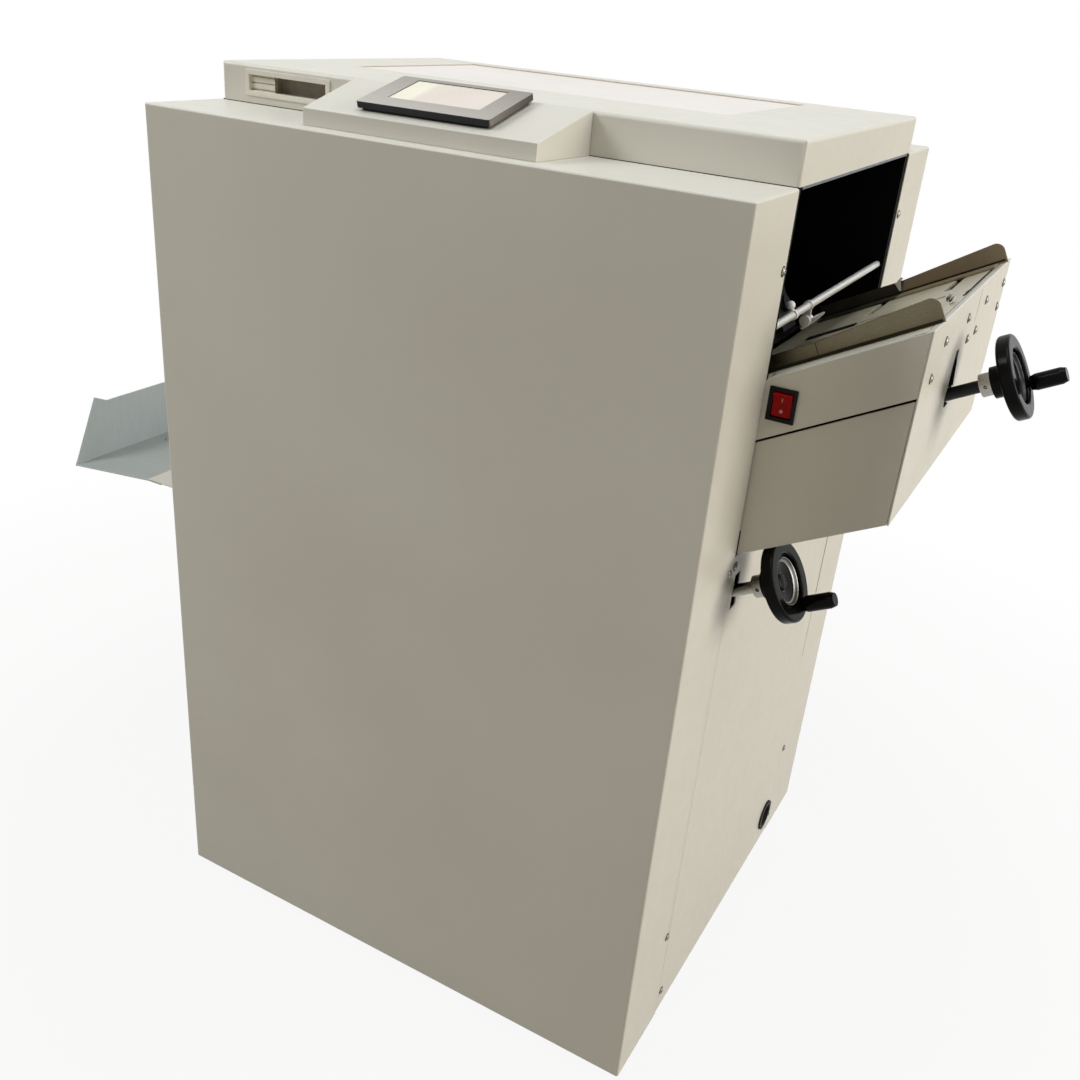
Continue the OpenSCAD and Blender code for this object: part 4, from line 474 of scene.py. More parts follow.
for node_name, node_object in frame["nodes"].items():
    wear(node_object, OWN_LOOK.get(node_name) or LOOKS[SLOT_OF[node_name]])


SMOOTH_ANGLE, FASTENER_ANGLE, RIB_ANGLE, WOUND_ANGLE = 38.0, 30, 20, 50
FLAT_WEIGHT = 60


def settle(piece, angle=SMOOTH_ANGLE):
    """Smooth shading up to an angle, with flats kept flat."""
    piece.data.shade_smooth()
    piece.data.set_sharp_from_angle(angle=math.radians(angle))
    weighted = piece.modifiers.new("flat_faces", "WEIGHTED_NORMAL")
    weighted.keep_sharp = True
    weighted.weight = FLAT_WEIGHT


def add_piece(name, work, body, material, angle=SMOOTH_ANGLE):
    """Makes a piece from a bmesh, on a body."""
    mesh = bpy.data.meshes.new(name)
    bmesh.ops.recalc_face_normals(work, faces=work.faces)
    work.to_mesh(mesh)
    work.free()
    piece = bpy.data.objects.new(name, mesh)
    scene.collection.objects.link(piece)
    wear(piece, material)
    settle(piece, angle)
    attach(piece, body)
    return piece


SHARP_ANGLE, FLAT_ANGLE = math.radians(40), math.radians(0.4)
WELD = 0.002 * MM


def soften(name, width):
    """Stands a copy with rounded edges in for a CAD node."""
    source = frame["nodes"][name]
    work = bmesh.new()
    work.from_mesh(source.data)
    bmesh.ops.remove_doubles(work, verts=work.verts, dist=WELD)
    bmesh.ops.dissolve_limit(work, angle_limit=FLAT_ANGLE, verts=work.verts, edges=work.edges)
    sharp = [e for e in work.edges if len(e.link_faces) == 2 and e.calc_face_angle(0) > SHARP_ANGLE]
    bmesh.ops.bevel(work, geom=sharp, offset=width * MM, offset_type="OFFSET", segments=2,
                    profile=0.5, affect="EDGES", clamp_overlap=False, loop_slide=True)
    piece = add_piece(name + "_edged", work, BODY_OF[name], source.data.materials[0])
    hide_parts(name)


# Radii of the folded and moulded edges, in millimetres
SOFT_EDGES = {
    "front_cover": 0.4, "back_cover": 0.4, "right_panel": 0.4, "left_panel": 0.4, "hood": 0.4,
    "hood_inset": 0.3, "pull_handle": 0.4, "panel_housing": 0.6, "touch_panel": 0.5, "touch_screen": 0.15,
    "infeed_front_side": 0.45, "infeed_rear_side": 0.45, "infeed_apron": 0.4, "infeed_end_plate": 0.45,
    "infeed_table": 0.3, "front_guide": 0.4, "rear_guide": 0.4, "switch_bezel": 0.5, "switch_rocker": 0.4,
    "outlet_chute": 0.4, "catch_tray": 0.4,
}
for node_name, width in SOFT_EDGES.items():
    soften(node_name, width)

# Directions for the small pieces
UP = Vector((0, 0, 1))
RIGHT = Vector((1, 0, 0))
BACK = Vector((0, 1, 0))
ALONG = Vector((math.cos(SLOPE), 0, math.sin(SLOPE)))
SLOPE_OUT = Vector((-math.sin(SLOPE), 0, math.cos(SLOPE)))

# Numbers of sides of the turned pieces
SCREW_SIDES, DOT_SIDES, FINGER_SIDES = 32, 24, 20
BEND_SIDES, CAP_SIDES, RING_SIDES = 10, 36, 64


def placed(origin, out, across):
    """A frame at a place: its z points out and its x lies across."""
    z = out.normalized()
    x = (across - z * across.dot(z)).normalized()
    y = z.cross(x)
    rows = [[x[i], y[i], z[i], origin[i]] for i in range(3)]
    return Matrix(rows + [[0, 0, 0, 1]])


def band(work, rings):
    """Joins closed rings of vertices one after the other."""
    for low, high in zip(rings, rings[1:]):
        count = len(low)
        for i in range(count):
            work.faces.new((low[i], low[(i + 1) % count], high[(i + 1) % count], high[i]))


def loft(work, rings):
    """Joins closed rings of vertices and closes both ends."""
    band(work, rings)
    work.faces.new(list(reversed(rings[0])))
    work.faces.new(rings[-1])


def turned(work, profile, at, sides=SCREW_SIDES, closed=False):
    """A turned solid from radii and heights in millimetres, closed on the axis or as a ring."""
    rings = []
    for radius, height in profile:
        ring = []
        for i in range(sides):
            angle = math.tau * i / sides
            place = Vector((radius * math.cos(angle), radius * math.sin(angle), height)) * MM
            ring.append(work.verts.new(at @ place))
        rings.append(ring)
    if closed:
        band(work, rings + rings[:1])
        return
    loft(work, rings)


def plate(work, outline, low, high, at):
    """A plate with an outline in its own plane, between two heights, in millimetres."""
    rings = []
    for height in (low, high):
        rings.append([work.verts.new(at @ (Vector((x, y, height)) * MM)) for x, y in outline])
    loft(work, rings)


def chamfered(width, depth, cut):
    """Outline of a rectangle about its middle with cut corners."""
    w, d = width / 2, depth / 2
    return [(w - cut, -d), (w, cut - d), (w, d - cut), (w - cut, d),
            (cut - w, d), (-w, d - cut), (-w, cut - d), (cut - w, -d)]


HEAD_H, SHANK_R, SHANK_LEN = 2.2, 2.0, 8.0
HEAD_PROFILE = ((3.8, 0.0), (3.8, 0.5), (3.5, 1.1), (3.0, 1.6), (2.4, 1.95), (2.0, 2.08), (1.7, 2.14),
                (1.4, 2.17), (1.1, 2.19), (0.8, 2.2), (0.5, 2.2), (0.25, 2.2))
CROSS_HALF, CROSS_REACH, CROSS_DEPTH = 0.42, 1.75, 0.9


def screw(work, at, shank=SHANK_LEN, sides=SCREW_SIDES):
    """Pan-head screw with a cross recess, its seat at the frame's origin."""
    rings = []
    for radius, height in ((SHANK_R, -shank), (SHANK_R, 0.0)) + HEAD_PROFILE:
        ring = []
        for i in range(sides):
            angle = math.tau * i / sides
            x, y = radius * math.cos(angle), radius * math.sin(angle)
            near, far = sorted((abs(x), abs(y)))
            sunk = height > HEAD_H / 2 and near < CROSS_HALF and far < CROSS_REACH
            drop = CROSS_DEPTH if sunk else 0.0
            ring.append(work.verts.new(at @ (Vector((x, y, height - drop)) * MM)))
        rings.append(ring)
    loft(work, rings)


# Dark ring under each screw head, painted shade standing in for the shadow around it
SCREW_SHADE_RING = ((3.6, 0.02), (4.7, 0.02), (4.8, 0.15), (4.7, 0.4), (4.4, 0.5), (3.6, 0.5))


def islands(mesh):
    """The separate shells of a mesh, each as its vertex places."""
    work = bmesh.new()
    work.from_mesh(mesh)
    seen, found = set(), []
    for start in work.verts:
        if start.index in seen:
            continue
        seen.add(start.index)
        group, waiting = [], [start]
        while waiting:
            vert = waiting.pop()
            group.append(vert.co.copy())
            for edge in vert.link_edges:
                other = edge.other_vert(vert)
                if other.index not in seen:
                    seen.add(other.index)
                    waiting.append(other)
        found.append(group)
    work.free()
    return found


def extent(places):
    """Low corner, middle and high corner of some places."""
    low = Vector([min(p[i] for p in places) for i in range(3)])
    high = Vector([max(p[i] for p in places) for i in range(3)])
    return low, (low + high) / 2, high


# Panel screws with pressed heads, and dark rings under them as painted shade around the heads
TURN_START, TURN_RATE = 0.4, 1.7
screw_work, shade_ring_work = bmesh.new(), bmesh.new()
merged = bmesh.new()
merged.from_mesh(frame["nodes"]["panel_screws"].data)
bmesh.ops.remove_doubles(merged, verts=merged.verts, dist=WELD)
merged_mesh = bpy.data.meshes.new("merged_screws")
merged.to_mesh(merged_mesh)
merged.free()
for group in islands(merged_mesh):
    low, centre, high = extent(group)
    side = 1 if centre.x > 0 else -1
    seat = Vector(((high.x if side > 0 else low.x) - side * HEAD_H * MM, centre.y, centre.z))
    turn = TURN_START + TURN_RATE * (centre.y + centre.z)
    at = placed(seat, RIGHT * side, Vector((0, math.cos(turn), math.sin(turn))))
    screw(screw_work, at)
    turned(shade_ring_work, SCREW_SHADE_RING, at, closed=True)
bpy.data.meshes.remove(merged_mesh)
screws = add_piece("panel_screws_pressed", screw_work, "machine", SCREW, FASTENER_ANGLE)
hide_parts("panel_screws")
add_piece("panel_screw_shade_rings", shade_ring_work, "machine", SEAM, FASTENER_ANGLE)

# Marks on the rocker: a bar above and a dot below
ROCKER_TILT = math.radians(8)
ROCKER_PIVOT = cab(17.75, 106, 759.5)
FACE_OUT, FACE_LEAN = -0.985, 0.171
BAR_PLACE, DOT_PLACE = (-3.92, 5.3, -1), (-3.97, -5.6, 1)
BAR_W, BAR_LEN, BAR_CUT, MARK_SUNK, MARK_RISE = 1.1, 4.0, 0.3, -0.1, 0.12
DOT = ((0.2, MARK_SUNK), (1.5, MARK_SUNK), (1.7, 0.05), (1.6, MARK_RISE), (0.2, MARK_RISE))


def rocker_face(y, z, lean):
    """A frame on the rocker's face at a place in its own section."""
    cos, sin = math.cos(ROCKER_TILT), math.sin(ROCKER_TILT)
    origin = ROCKER_PIVOT + Vector((0, y * cos - z * sin, y * sin + z * cos)) * MM
    ny, nz = FACE_OUT, lean * FACE_LEAN
    return placed(origin, Vector((0, ny * cos - nz * sin, ny * sin + nz * cos)), RIGHT)


mark_work = bmesh.new()
plate(mark_work, chamfered(BAR_W, BAR_LEN, BAR_CUT), MARK_SUNK, MARK_RISE, rocker_face(*BAR_PLACE))
turned(mark_work, DOT, rocker_face(*DOT_PLACE), DOT_SIDES)
add_piece("rocker_marks", mark_work, "switch_rocker", MARK)

# Sealing strips along the hood's right and left lower edges
HOOD_W, HOOD_H, HOOD_Z = 620, 37, 940.5
STRIP_BACK, STRIP_LEN = 485, 371
RIGHT_STRIP = [(-3.4, 0.3), (-3.4, -2.4), (-2.9, -2.9), (-1.2, -2.9), (-0.7, -2.4), (-0.7, 0.3)]
LEFT_STRIP = [(0.4, 0.3), (0.4, -5.6), (0.9, -6.1), (2.4, -6.1), (2.9, -5.6), (2.9, 0.3)]
strip_work = bmesh.new()
for hood_edge, section in ((0, RIGHT_STRIP), (-HOOD_W, LEFT_STRIP)):
    plate(strip_work, section, 0, STRIP_LEN, placed(cab(hood_edge, STRIP_BACK, HOOD_Z), -BACK, RIGHT))
add_piece("hood_edge_strip", strip_work, "hood", LOOKS["motor_paint"])

# Painted shade behind and left of the lid: dark pinkish brown strips along the edges of its recess
SEAM_W, SEAM_SUNK, SEAM_RISE, SEAM_GAP, SEAM_CUT = 1.3, -0.05, 0.5, 0.2, 0.2
HOOD_FRONT, HOOD_BACK = 103, 495
FROM_LEFT, FROM_RIGHT, FROM_FRONT, FROM_BACK, LID_SUNK = 74, 115, 122, 32, 1.5
LID_LEFT, LID_RIGHT = FROM_LEFT - HOOD_W, -FROM_RIGHT
LID_FRONT, LID_BACK = HOOD_FRONT + FROM_FRONT, HOOD_BACK - FROM_BACK
LID_TOP = HOOD_Z + HOOD_H - LID_SUNK
lid_shade_work = bmesh.new()
for x0, x1, y0, y1 in ((LID_LEFT, LID_RIGHT, LID_BACK - SEAM_W, LID_BACK),
                       (LID_LEFT, LID_LEFT + SEAM_W, LID_FRONT, LID_BACK)):
    centre = cab((x0 + x1) / 2, (y0 + y1) / 2, LID_TOP)
    outline = chamfered(x1 - x0 - SEAM_GAP, y1 - y0 - SEAM_GAP, SEAM_CUT)
    plate(lid_shade_work, outline, SEAM_SUNK, SEAM_RISE, placed(centre, UP, RIGHT))
add_piece("lid_recess_shade", lid_shade_work, "hood", LID_RECESS_SHADE)

# Short seam in the end plate above the upper shaft
END_FACE = 129
END_SEAM_Y, END_SEAM_Z = 328, 827.5
END_SEAM_W, END_SEAM_LEN, END_SEAM_CUT, END_SUNK, END_RISE = 0.8, 32, 0.3, -0.1, 0.08
end_seam = placed(cab(END_FACE, END_SEAM_Y, END_SEAM_Z), RIGHT, BACK)
end_work = bmesh.new()
plate(end_work, chamfered(END_SEAM_W, END_SEAM_LEN, END_SEAM_CUT), END_SUNK, END_RISE, end_seam)
add_piece("end_plate_seam", end_work, "machine", SEAM)

# Fasteners on the tray, the chute, the left panel and the hinges
TRAY_RISE, TRAY_RUN = 15.5, 136
TRAY_X, TRAY_Y, TRAY_Z, TRAY_SHANK = -884, (239, 359), 453.3, 4.0
CHUTE_X, CHUTE_Y, CHUTE_Z = -625.5, (140, 239, 359, 458), 425
LEFT_X, LEFT_Y, LEFT_Z = -624, (109, 489), (60, 330, 620, 900)
HINGE_IN, HINGE_Y, LEAF_BACK, HINGE_STEPS = 100, 499.2, 13, (-20, 0, 20)
FIXED_LEAF_Y, FIXED_LEAF_Z = HINGE_Y + LEAF_BACK, 941.5
MOVING_LEAF_Y, MOVING_LEAF_Z = 496.5, 960
SHEET_SHANK = 3.0
# Turn of the cross recesses, as a share of the second direction
CHUTE_TURN, LEFT_TURN, FIXED_TURN, MOVING_TURN, FLANGE_TURN = 0.3, 0.5, 0.4, 0.6, 0.4
tray_tilt = math.atan2(TRAY_RISE, TRAY_RUN)
tray_out = Vector((-math.sin(tray_tilt), 0, math.cos(tray_tilt)))
fixed_work, leaf_work = bmesh.new(), bmesh.new()
for y in TRAY_Y:
    screw(fixed_work, placed(cab(TRAY_X, y, TRAY_Z), tray_out, BACK), TRAY_SHANK)
for y in CHUTE_Y:
    screw(fixed_work, placed(cab(CHUTE_X, y, CHUTE_Z), -RIGHT, BACK + UP * CHUTE_TURN), SHEET_SHANK)
for y in LEFT_Y:
    for z in LEFT_Z:
        screw(fixed_work, placed(cab(LEFT_X, y, z), -RIGHT, BACK + UP * LEFT_TURN), SHEET_SHANK)
for hinge_x in (-HINGE_IN, HINGE_IN - HOOD_W):
    for step in HINGE_STEPS:
        fixed_place = cab(hinge_x + step, FIXED_LEAF_Y, FIXED_LEAF_Z)
        moving_place = cab(hinge_x + step, MOVING_LEAF_Y, MOVING_LEAF_Z)
        screw(fixed_work, placed(fixed_place, UP, RIGHT + BACK * FIXED_TURN), SHEET_SHANK)
        screw(leaf_work, placed(moving_place, BACK, RIGHT + UP * MOVING_TURN), SHEET_SHANK)
add_piece("fixed_fasteners", fixed_work, "machine", SCREW, FASTENER_ANGLE)
add_piece("hood_hinge_fasteners", leaf_work, "hood", SCREW, FASTENER_ANGLE)

# Bright finger under the hold-down arm's roller, and the white cap on the roller's axle
FINGER = ((0.3, -1.0), (1.7, -0.8), (2.3, 1.0), (2.5, 13.0), (2.1, 19.0), (1.3, 24.5), (0.4, 27.0))
FINGER_LIFT = math.radians(16)
FINGER_PLACE = (-0.6, -73, 21.8)
finger_tilt = SLOPE + FINGER_LIFT
finger_out = Vector((math.cos(finger_tilt), 0, math.sin(finger_tilt)))
finger_work = bmesh.new()
turned(finger_work, FINGER, placed(slope(*FINGER_PLACE), finger_out, BACK), FINGER_SIDES)
add_piece("hold_down_finger", finger_work, "hold_down_arm", ROD)
ROLLER_CAP = ((0.4, -0.2), (5.4, -0.2), (5.6, 0.4), (5.5, 1.6), (5.0, 2.1), (2.4, 2.3), (0.4, 2.4))
roller_low, roller_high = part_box("arm_roller")
roller_middle = (roller_low + roller_high) / 2
arm_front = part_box("hold_down_arm")[0].y
cap_place = Vector((roller_middle.x, arm_front, roller_middle.z))
cap_work = bmesh.new()
turned(cap_work, ROLLER_CAP, placed(cap_place, -BACK, RIGHT), CAP_SIDES)
add_piece("roller_axle_cap", cap_work, "hold_down_arm", LOOKS["white_plastic"])

# Bent wire and dark gap strip at the table's outer end, and the bright ear on the far guide's step
WIRE_BENDS = ((118, -4, 0.75), (124, -11, 4.2), (121, -19, 0.75), (128, -23, 4.8), (126, -31, 0.75),
              (133, -36, 3.8), (130, -43, 0.75), (134, -49, 2.6), (131, -54.5, 0.75))
BEND_R, BEND_TIP, BEND_OVER = 0.8, 0.3, 0.4
wire_work = bmesh.new()
for start_bend, end_bend in zip(WIRE_BENDS, WIRE_BENDS[1:]):
    first, last = slope(*start_bend), slope(*end_bend)
    length = (last - first).length / MM
    bend = ((BEND_TIP, -BEND_OVER), (BEND_R, 0.0), (BEND_R, length), (BEND_TIP, length + BEND_OVER))
    turned(wire_work, bend, placed(first, last - first, UP), BEND_SIDES)
add_piece("table_wire", wire_work, "machine", SHAFT)
GAP = [(-18, 0.2), (150, 0.4), (150, 2.8), (60, 3.4), (20, 2.6), (4, 4.6), (-6, 3.0), (-14, 4.2), (-20, 2.2)]
GAP_AT, GAP_LOW, GAP_HIGH = 138.6, 0.05, 0.3
gap_work = bmesh.new()
plate(gap_work, GAP, GAP_LOW, GAP_HIGH, placed(slope(GAP_AT, 0, 0), SLOPE_OUT, BACK))
add_piece("table_end_gap", gap_work, "machine", SEAM)
EAR = [(32, 14.2), (35.5, 16.4), (40.2, 19.4), (42, 17.2), (38.4, 14.6), (36.2, 5.0), (34.2, 5.4)]
EAR_Y, EAR_LOW, EAR_HIGH = 161.4, 0.1, 0.9
ear_work = bmesh.new()
plate(ear_work, EAR, EAR_LOW, EAR_HIGH, placed(slope(0, EAR_Y, 0), -BACK, ALONG))
add_piece("far_guide_ear", ear_work, "rear_guide", EAR_LOOK)

# Dark strips along the guides' feet, painted shade where they meet the table, and the joint in the near
# guide
GUIDE_LOW, GUIDE_HIGH = -54, 147
NEAR_FACE_Y, FAR_FACE_Y = -163.5, 161.5
FOOT_SUNK, NEAR_RISE, JOINT_RISE, FAR_RISE = -0.05, 0.5, 0.12, 0.4
NEAR_FOOT_SHADE = [(GUIDE_LOW, 0.5), (GUIDE_HIGH, 0.5), (GUIDE_HIGH + 0.4, 0.9), (GUIDE_HIGH, 3.3),
             (GUIDE_LOW, 3.3)]
NEAR_JOINT = [(38.6, 3.3), (39.3, 3.3), (39.9, 15.0), (39.2, 15.0)]
FAR_FOOT_SHADE = [(GUIDE_LOW, 2.4), (GUIDE_HIGH, 2.4), (GUIDE_HIGH, 4.2), (GUIDE_LOW, 4.2)]
near_face = placed(slope(0, NEAR_FACE_Y, 0), -BACK, ALONG)
near_work = bmesh.new()
plate(near_work, NEAR_FOOT_SHADE, FOOT_SUNK, NEAR_RISE, near_face)
plate(near_work, NEAR_JOINT, FOOT_SUNK, JOINT_RISE, near_face)
add_piece("front_guide_foot_shade", near_work, "front_guide", SEAM)
far_work = bmesh.new()
plate(far_work, FAR_FOOT_SHADE, FOOT_SUNK, FAR_RISE, placed(slope(0, FAR_FACE_Y, 0), -BACK, ALONG))
add_piece("rear_guide_foot_shade", far_work, "rear_guide", SEAM)

# Ribbed strip on the table
RIB_STEP, RIB_COUNT, RIB_START = 2.6, 20, -28.0
RIB_BASE, RIB_ROOT, RIB_TOP = 0.1, 0.7, 1.5
RIB_SHAPE = ((0.1, RIB_ROOT), (0.4, RIB_TOP), (1.5, RIB_TOP), (1.8, RIB_ROOT))
STRIP_FRONT, STRIP_REAR = 4, 17
rib_end = RIB_START + RIB_COUNT * RIB_STEP
ribs = [(RIB_START, RIB_BASE)]
for rib in range(RIB_COUNT):
    start = RIB_START + rib * RIB_STEP
    ribs += [(start + step, height) for step, height in RIB_SHAPE]
ribs += [(rib_end, RIB_ROOT), (rib_end, RIB_BASE)]
rib_work = bmesh.new()
plate(rib_work, list(reversed(ribs)), -STRIP_FRONT, -STRIP_REAR, placed(slope(0, 0, 0), -BACK, ALONG))
add_piece("table_grip_strip", rib_work, "machine", TRIM, RIB_ANGLE)

# Painted shade at the slit above the upper shaft: a black sheet behind it, and black proud lips that taper
# upward and a tail below, which widen its dark line
SLIT_Y, SLIT_HALF, SLIT_MIDDLE, SLIT_TOP = 261, 4.2, 784, 797.2
BACKING_FACE, BACKING_W, BACKING_H, BACKING_CUT, BACKING_T = 127.48, 16, 34, 1, 0.5
TOP_W, TOP_H, TOP_CUT, TOP_SUNK, TOP_RISE = 6.4, 1.6, 0.3, -0.1, 0.3
LIP_SECTION = ((-1, -0.3), (-1, 0.4), (-0.7, 0.8), (-0.25, 1), (0.25, 1), (0.7, 0.8), (1, 0.4), (1, -0.3))
LIP_HALF = 1.1
LIP_RISES = ((763.6, 2.8), (770, 2.3), (778, 1.7), (785, 1.2), (790, 0.5), (798, 0.3))
LIP = [(z, LIP_HALF, rise) for z, rise in LIP_RISES]
TAIL = ((746.6, 3.0, 2.2), (744.4, 2.4, 1.4), (742.4, 1.4, 0.6))


def ridge(work, across, stations):
    """A rounded ridge up the end plate, from heights, half widths and rises in millimetres."""
    rings = []
    for z, half, rise in stations:
        places = [cab(END_FACE + out * rise, across + side * half, z) for side, out in LIP_SECTION]
        rings.append([work.verts.new(place) for place in places])
    loft(work, rings)


slit_work = bmesh.new()
backing_at = placed(cab(BACKING_FACE, SLIT_Y, SLIT_MIDDLE), RIGHT, BACK)
plate(slit_work, chamfered(BACKING_W, BACKING_H, BACKING_CUT), -BACKING_T, 0, backing_at)
for side in (-1, 1):
    ridge(slit_work, SLIT_Y + side * SLIT_HALF, LIP)
ridge(slit_work, SLIT_Y, TAIL)
top_at = placed(cab(END_FACE, SLIT_Y, SLIT_TOP), RIGHT, BACK)
plate(slit_work, chamfered(TOP_W, TOP_H, TOP_CUT), TOP_SUNK, TOP_RISE, top_at)
add_piece("slit_painted_shade", slit_work, "machine", TRIM)

# Black caps over the wheel screws, and a ring in the dish of each wheel
WHEELS = {"upper_wheel": (144.723, -38, -83), "lower_wheel": (-71.2453, -177, -191.996)}
CAP_PROFILE = ((0.4, 0.05), (8.6, 0.05), (8.7, 0.5), (8.2, 1.1), (6.0, 1.7), (3.0, 2.0), (0.4, 2.1))
CAP_SEAT = 16.5
RING = ((19.4, 18.3), (23.2, 18.9), (23.4, 21.8), (23.0, 22.3), (22.4, 22.0), (21.8, 20.4), (20.8, 19.4),
        (19.4, 19.0))
# Painted light: one ring in two copies, dark steel in the upper wheel and paler dull steel in the lower one,
# to match how each is lit
RING_LIT_AND_SHADED_LOOKS = {"upper_wheel": LOOKS["head_steel"], "lower_wheel": RING_STEEL}
for wheel, (hub, across, above) in WHEELS.items():
    cap_work = bmesh.new()
    turned(cap_work, CAP_PROFILE, placed(slope(hub + CAP_SEAT, across, above), ALONG, BACK), CAP_SIDES)
    add_piece(wheel + "_cap", cap_work, BODY_OF[wheel], CAP)
for wheel, (hub, across, above) in WHEELS.items():
    ring_work = bmesh.new()
    turned(ring_work, RING, placed(slope(hub, across, above), ALONG, BACK), RING_SIDES, True)
    add_piece(wheel + "_ring", ring_work, BODY_OF[wheel], RING_LIT_AND_SHADED_LOOKS[wheel])

# Dark seam between the right panel and the back cover's flange, and a screw by the lower shaft
SIDE_SUNK = -0.3
# Width, length, cut corners, rise, place in y and height of each part
SIDE_SEAM = ((2.4, 86, 0.5, 0.08, 494.6, 437), (1.0, 100, 0.3, 0.06, 494.8, 345))
FLANGE_SCREW_Y, FLANGE_SCREW_Z = 94.4, 590
side_work = bmesh.new()
for width, length, cut, rise, y, z in SIDE_SEAM:
    plate(side_work, chamfered(width, length, cut), SIDE_SUNK, rise, placed(cab(0, y, z), RIGHT, BACK))
add_piece("side_seam", side_work, "machine", TRIM)
flange_work = bmesh.new()
flange_at = placed(cab(0, FLANGE_SCREW_Y, FLANGE_SCREW_Z), RIGHT, BACK + UP * FLANGE_TURN)
screw(flange_work, flange_at, SHEET_SHANK)
add_piece("flange_screw", flange_work, "machine", SCREW, FASTENER_ANGLE)

# Wire spools: flanges with a rolled rim and wire wound in rows
SPOOL_R, WIRE_R, BORE_R, HALF_W, FLANGE_T = 60.0, 52.0, 8.05, 25.0, 3.0
RIM_IN, RIM_CUT, ROW_DIP, WIRE_ROWS = 0.8, 0.6, 0.35, 40
ROW_SHAPE = ((0.04, WIRE_R - ROW_DIP), (0.3, WIRE_R), (0.7, WIRE_R), (0.96, WIRE_R - ROW_DIP))
SPOOL_X, SPOOL_Z, CABINET_MIDDLE = -290, 850, 299
SPOOLS = {"front_spool": -60, "rear_spool": 60}
row_pitch = (2 * HALF_W - 2 * FLANGE_T) / WIRE_ROWS
wound = []
for row in range(WIRE_ROWS):
    start = FLANGE_T - HALF_W + row * row_pitch
    wound += [(radius, start + part * row_pitch) for part, radius in ROW_SHAPE]
flange = [(SPOOL_R - RIM_IN, 0.0), (SPOOL_R, RIM_CUT), (SPOOL_R, FLANGE_T - RIM_CUT),
          (SPOOL_R - RIM_IN, FLANGE_T)]
loop = [(BORE_R, HALF_W), (BORE_R, -HALF_W)]
loop += [(radius, height - HALF_W) for radius, height in flange]
loop += wound
loop += [(radius, height + HALF_W - FLANGE_T) for radius, height in flange]
for spool_name, across in SPOOLS.items():
    spool_work = bmesh.new()
    spool_at = placed(cab(SPOOL_X, CABINET_MIDDLE + across, SPOOL_Z), BACK, RIGHT)
    turned(spool_work, loop, spool_at, RING_SIDES, True)
    spool = add_piece(spool_name + "_wound", spool_work, spool_name, LOOKS["stitching_wire"],
                      WOUND_ANGLE)
    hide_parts(spool_name)

# Camera solved from the photograph's corners
LENS, SENSOR = 37.383, 36
CAMERA_RIGHT = (0.86794896, 0.49028922, 0.07925323)
CAMERA_UP = (-0.27880326, 0.34893273, 0.89471487)
CAMERA_AHEAD = (-0.41101501, 0.7986629, -0.43955004)
CAMERA_PLACE = cab(269.5, -823.4, 1067.7)
camera_data = bpy.data.cameras.new("camera")
camera_data.lens = LENS
camera_data.sensor_width = SENSOR
camera = bpy.data.objects.new("camera", camera_data)
pose = Matrix.Identity(4)
for row in range(3):
    pose[row][0] = CAMERA_RIGHT[row]
    pose[row][1] = CAMERA_UP[row]
    pose[row][2] = -CAMERA_AHEAD[row]
pose.translation = CAMERA_PLACE
camera.matrix_world = pose
scene.collection.objects.link(camera)
scene.camera = camera

# Soft studio light: a wide warm lamp from the right, a neutral one from the left and a cool one above
AIM = Vector((0, 0, 0.6))


def lamp(name, place, size, power, tint):
    """A rectangular lamp that faces the middle of the object."""
    data = bpy.data.lights.new(name, "AREA")
    data.shape = "RECTANGLE"
    data.size, data.size_y = size
    data.energy = power
    data.color = tint
    light = bpy.data.objects.new(name, data)
    light.location = place
    light.rotation_euler = (AIM - Vector(place)).to_track_quat("-Z", "Y").to_euler()
    scene.collection.objects.link(light)


lamp("key", (3.8, 0.62, 1.8), (2.4, 2.2), 100, (1.0, 0.95, 0.86))
lamp("left", (-2.6, -1.9, 3.2), (1.8, 1.8), 86, (0.995, 1.0, 1.0))
lamp("top", (0.6, -0.2, 3.6), (1.6, 1.6), 38, (0.86, 0.93, 1.0))


def seen_directly(tree):
    """One for rays that come straight from the camera, off a mirror or through glass."""
    path = tree.nodes.new("ShaderNodeLightPath")
    total = path.outputs["Is Camera Ray"]
    for name in ("Is Glossy Ray", "Is Transmission Ray"):
        highest = tree.nodes.new("ShaderNodeMath")
        highest.operation = "MAXIMUM"
        tree.links.new(total, highest.inputs[0])
        tree.links.new(path.outputs[name], highest.inputs[1])
        total = highest.outputs[0]
    return total


# Warm dim room for the light, white where the background is seen
ROOM_TINT, ROOM_STRENGTH = (1.0, 0.93, 0.80, 1.0), 0.20
WHITE = (1, 1, 1, 1)
world = bpy.data.worlds.new("studio")
scene.world = world
world.use_nodes = True
air = world.node_tree
room = air.nodes["Background"]
room.inputs["Color"].default_value = ROOM_TINT
room.inputs["Strength"].default_value = ROOM_STRENGTH
backdrop = air.nodes.new("ShaderNodeBackground")
backdrop.inputs["Color"].default_value = WHITE
backdrop.inputs["Strength"].default_value = 1.0
choice = air.nodes.new("ShaderNodeMixShader")
air.links.new(seen_directly(air), choice.inputs["Fac"])
air.links.new(room.outputs["Background"], choice.inputs[1])
air.links.new(backdrop.outputs["Background"], choice.inputs[2])
air.links.new(choice.outputs["Shader"], air.nodes["World Output"].inputs["Surface"])

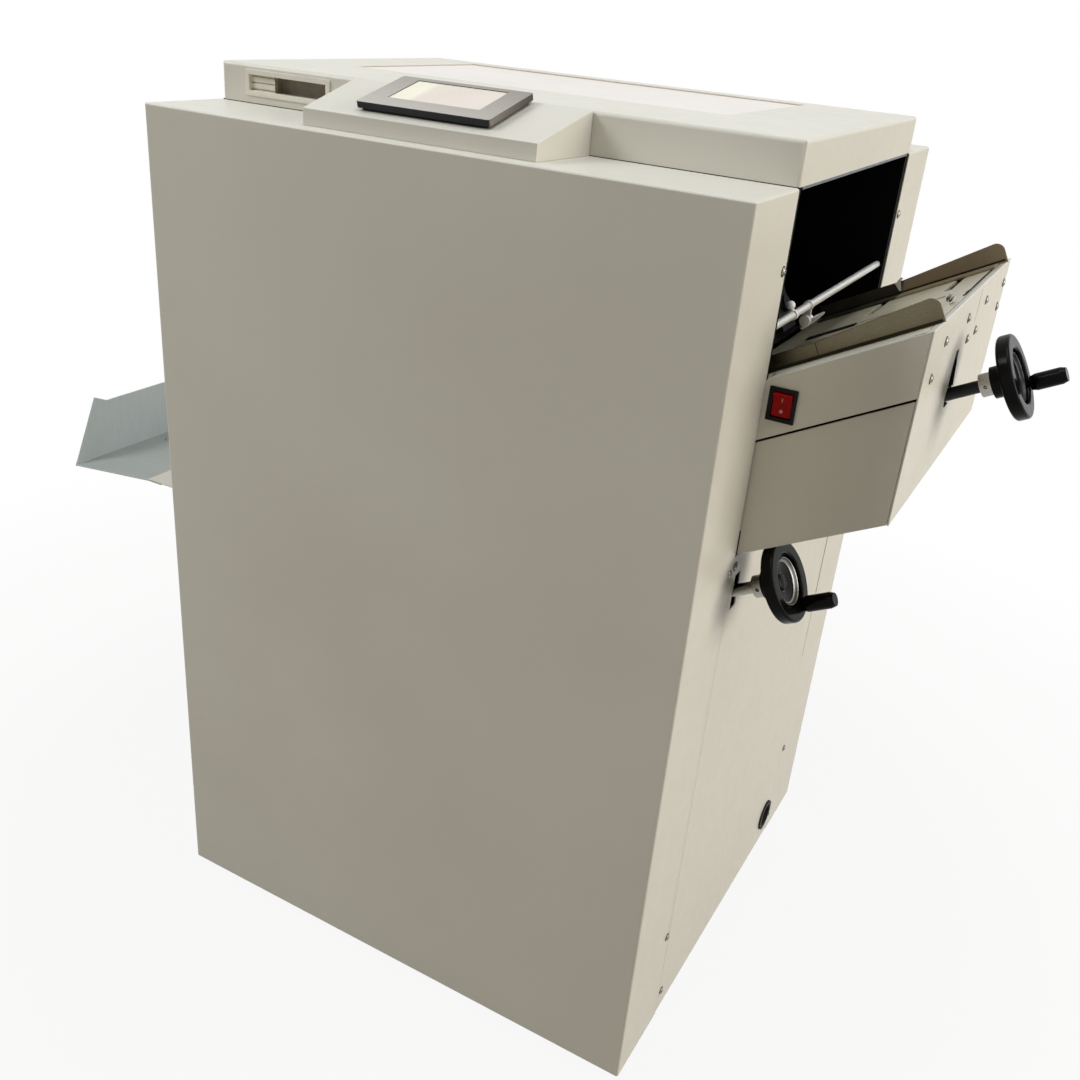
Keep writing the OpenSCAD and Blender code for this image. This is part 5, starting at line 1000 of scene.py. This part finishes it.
# Pale floor that keeps a faint shadow near the object and turns white farther out
FLOOR_HALF, FLOOR_PARTS = 14, 8
FLOOR_TINT = (0.30, 0.265, 0.20, 1)
SHADOW_NEAR, SHADOW_FAR, WHITE_NEAR, WHITE_FAR = 0.6, 1.5, 0.92, 1.0
floor_mesh = bpy.data.meshes.new("floor")
floor_work = bmesh.new()
bmesh.ops.create_grid(floor_work, x_segments=FLOOR_PARTS, y_segments=FLOOR_PARTS, size=FLOOR_HALF)
floor_work.to_mesh(floor_mesh)
floor_work.free()
floor = bpy.data.objects.new("floor", floor_mesh)
scene.collection.objects.link(floor)
floor_look = bpy.data.materials.new("pale_floor")
floor_look.use_nodes = True
tree = floor_look.node_tree
plain = tree.nodes["Principled BSDF"]
plain.inputs["Base Color"].default_value = FLOOR_TINT
plain.inputs["Roughness"].default_value = 0.9
plain.inputs["Specular IOR Level"].default_value = 0.1
glow = tree.nodes.new("ShaderNodeEmission")
glow.inputs["Color"].default_value = WHITE
glow.inputs["Strength"].default_value = 1.0
place = tree.nodes.new("ShaderNodeTexCoord")
reach = tree.nodes.new("ShaderNodeVectorMath")
reach.operation = "LENGTH"
tree.links.new(place.outputs["Object"], reach.inputs[0])
fade = tree.nodes.new("ShaderNodeMapRange")
for socket_name, number in zip(RANGE_SOCKETS, (SHADOW_NEAR, SHADOW_FAR, WHITE_NEAR, WHITE_FAR)):
    fade.inputs[socket_name].default_value = number
tree.links.new(reach.outputs["Value"], fade.inputs["Value"])
share = tree.nodes.new("ShaderNodeMath")
share.operation = "MULTIPLY"
tree.links.new(seen_directly(tree), share.inputs[0])
tree.links.new(fade.outputs["Result"], share.inputs[1])
cover = tree.nodes.new("ShaderNodeMixShader")
tree.links.new(share.outputs[0], cover.inputs["Fac"])
tree.links.new(plain.outputs["BSDF"], cover.inputs[1])
tree.links.new(glow.outputs["Emission"], cover.inputs[2])
tree.links.new(cover.outputs["Shader"], tree.nodes["Material Output"].inputs["Surface"])
wear(floor, floor_look)

scene.view_settings.view_transform = "Standard"
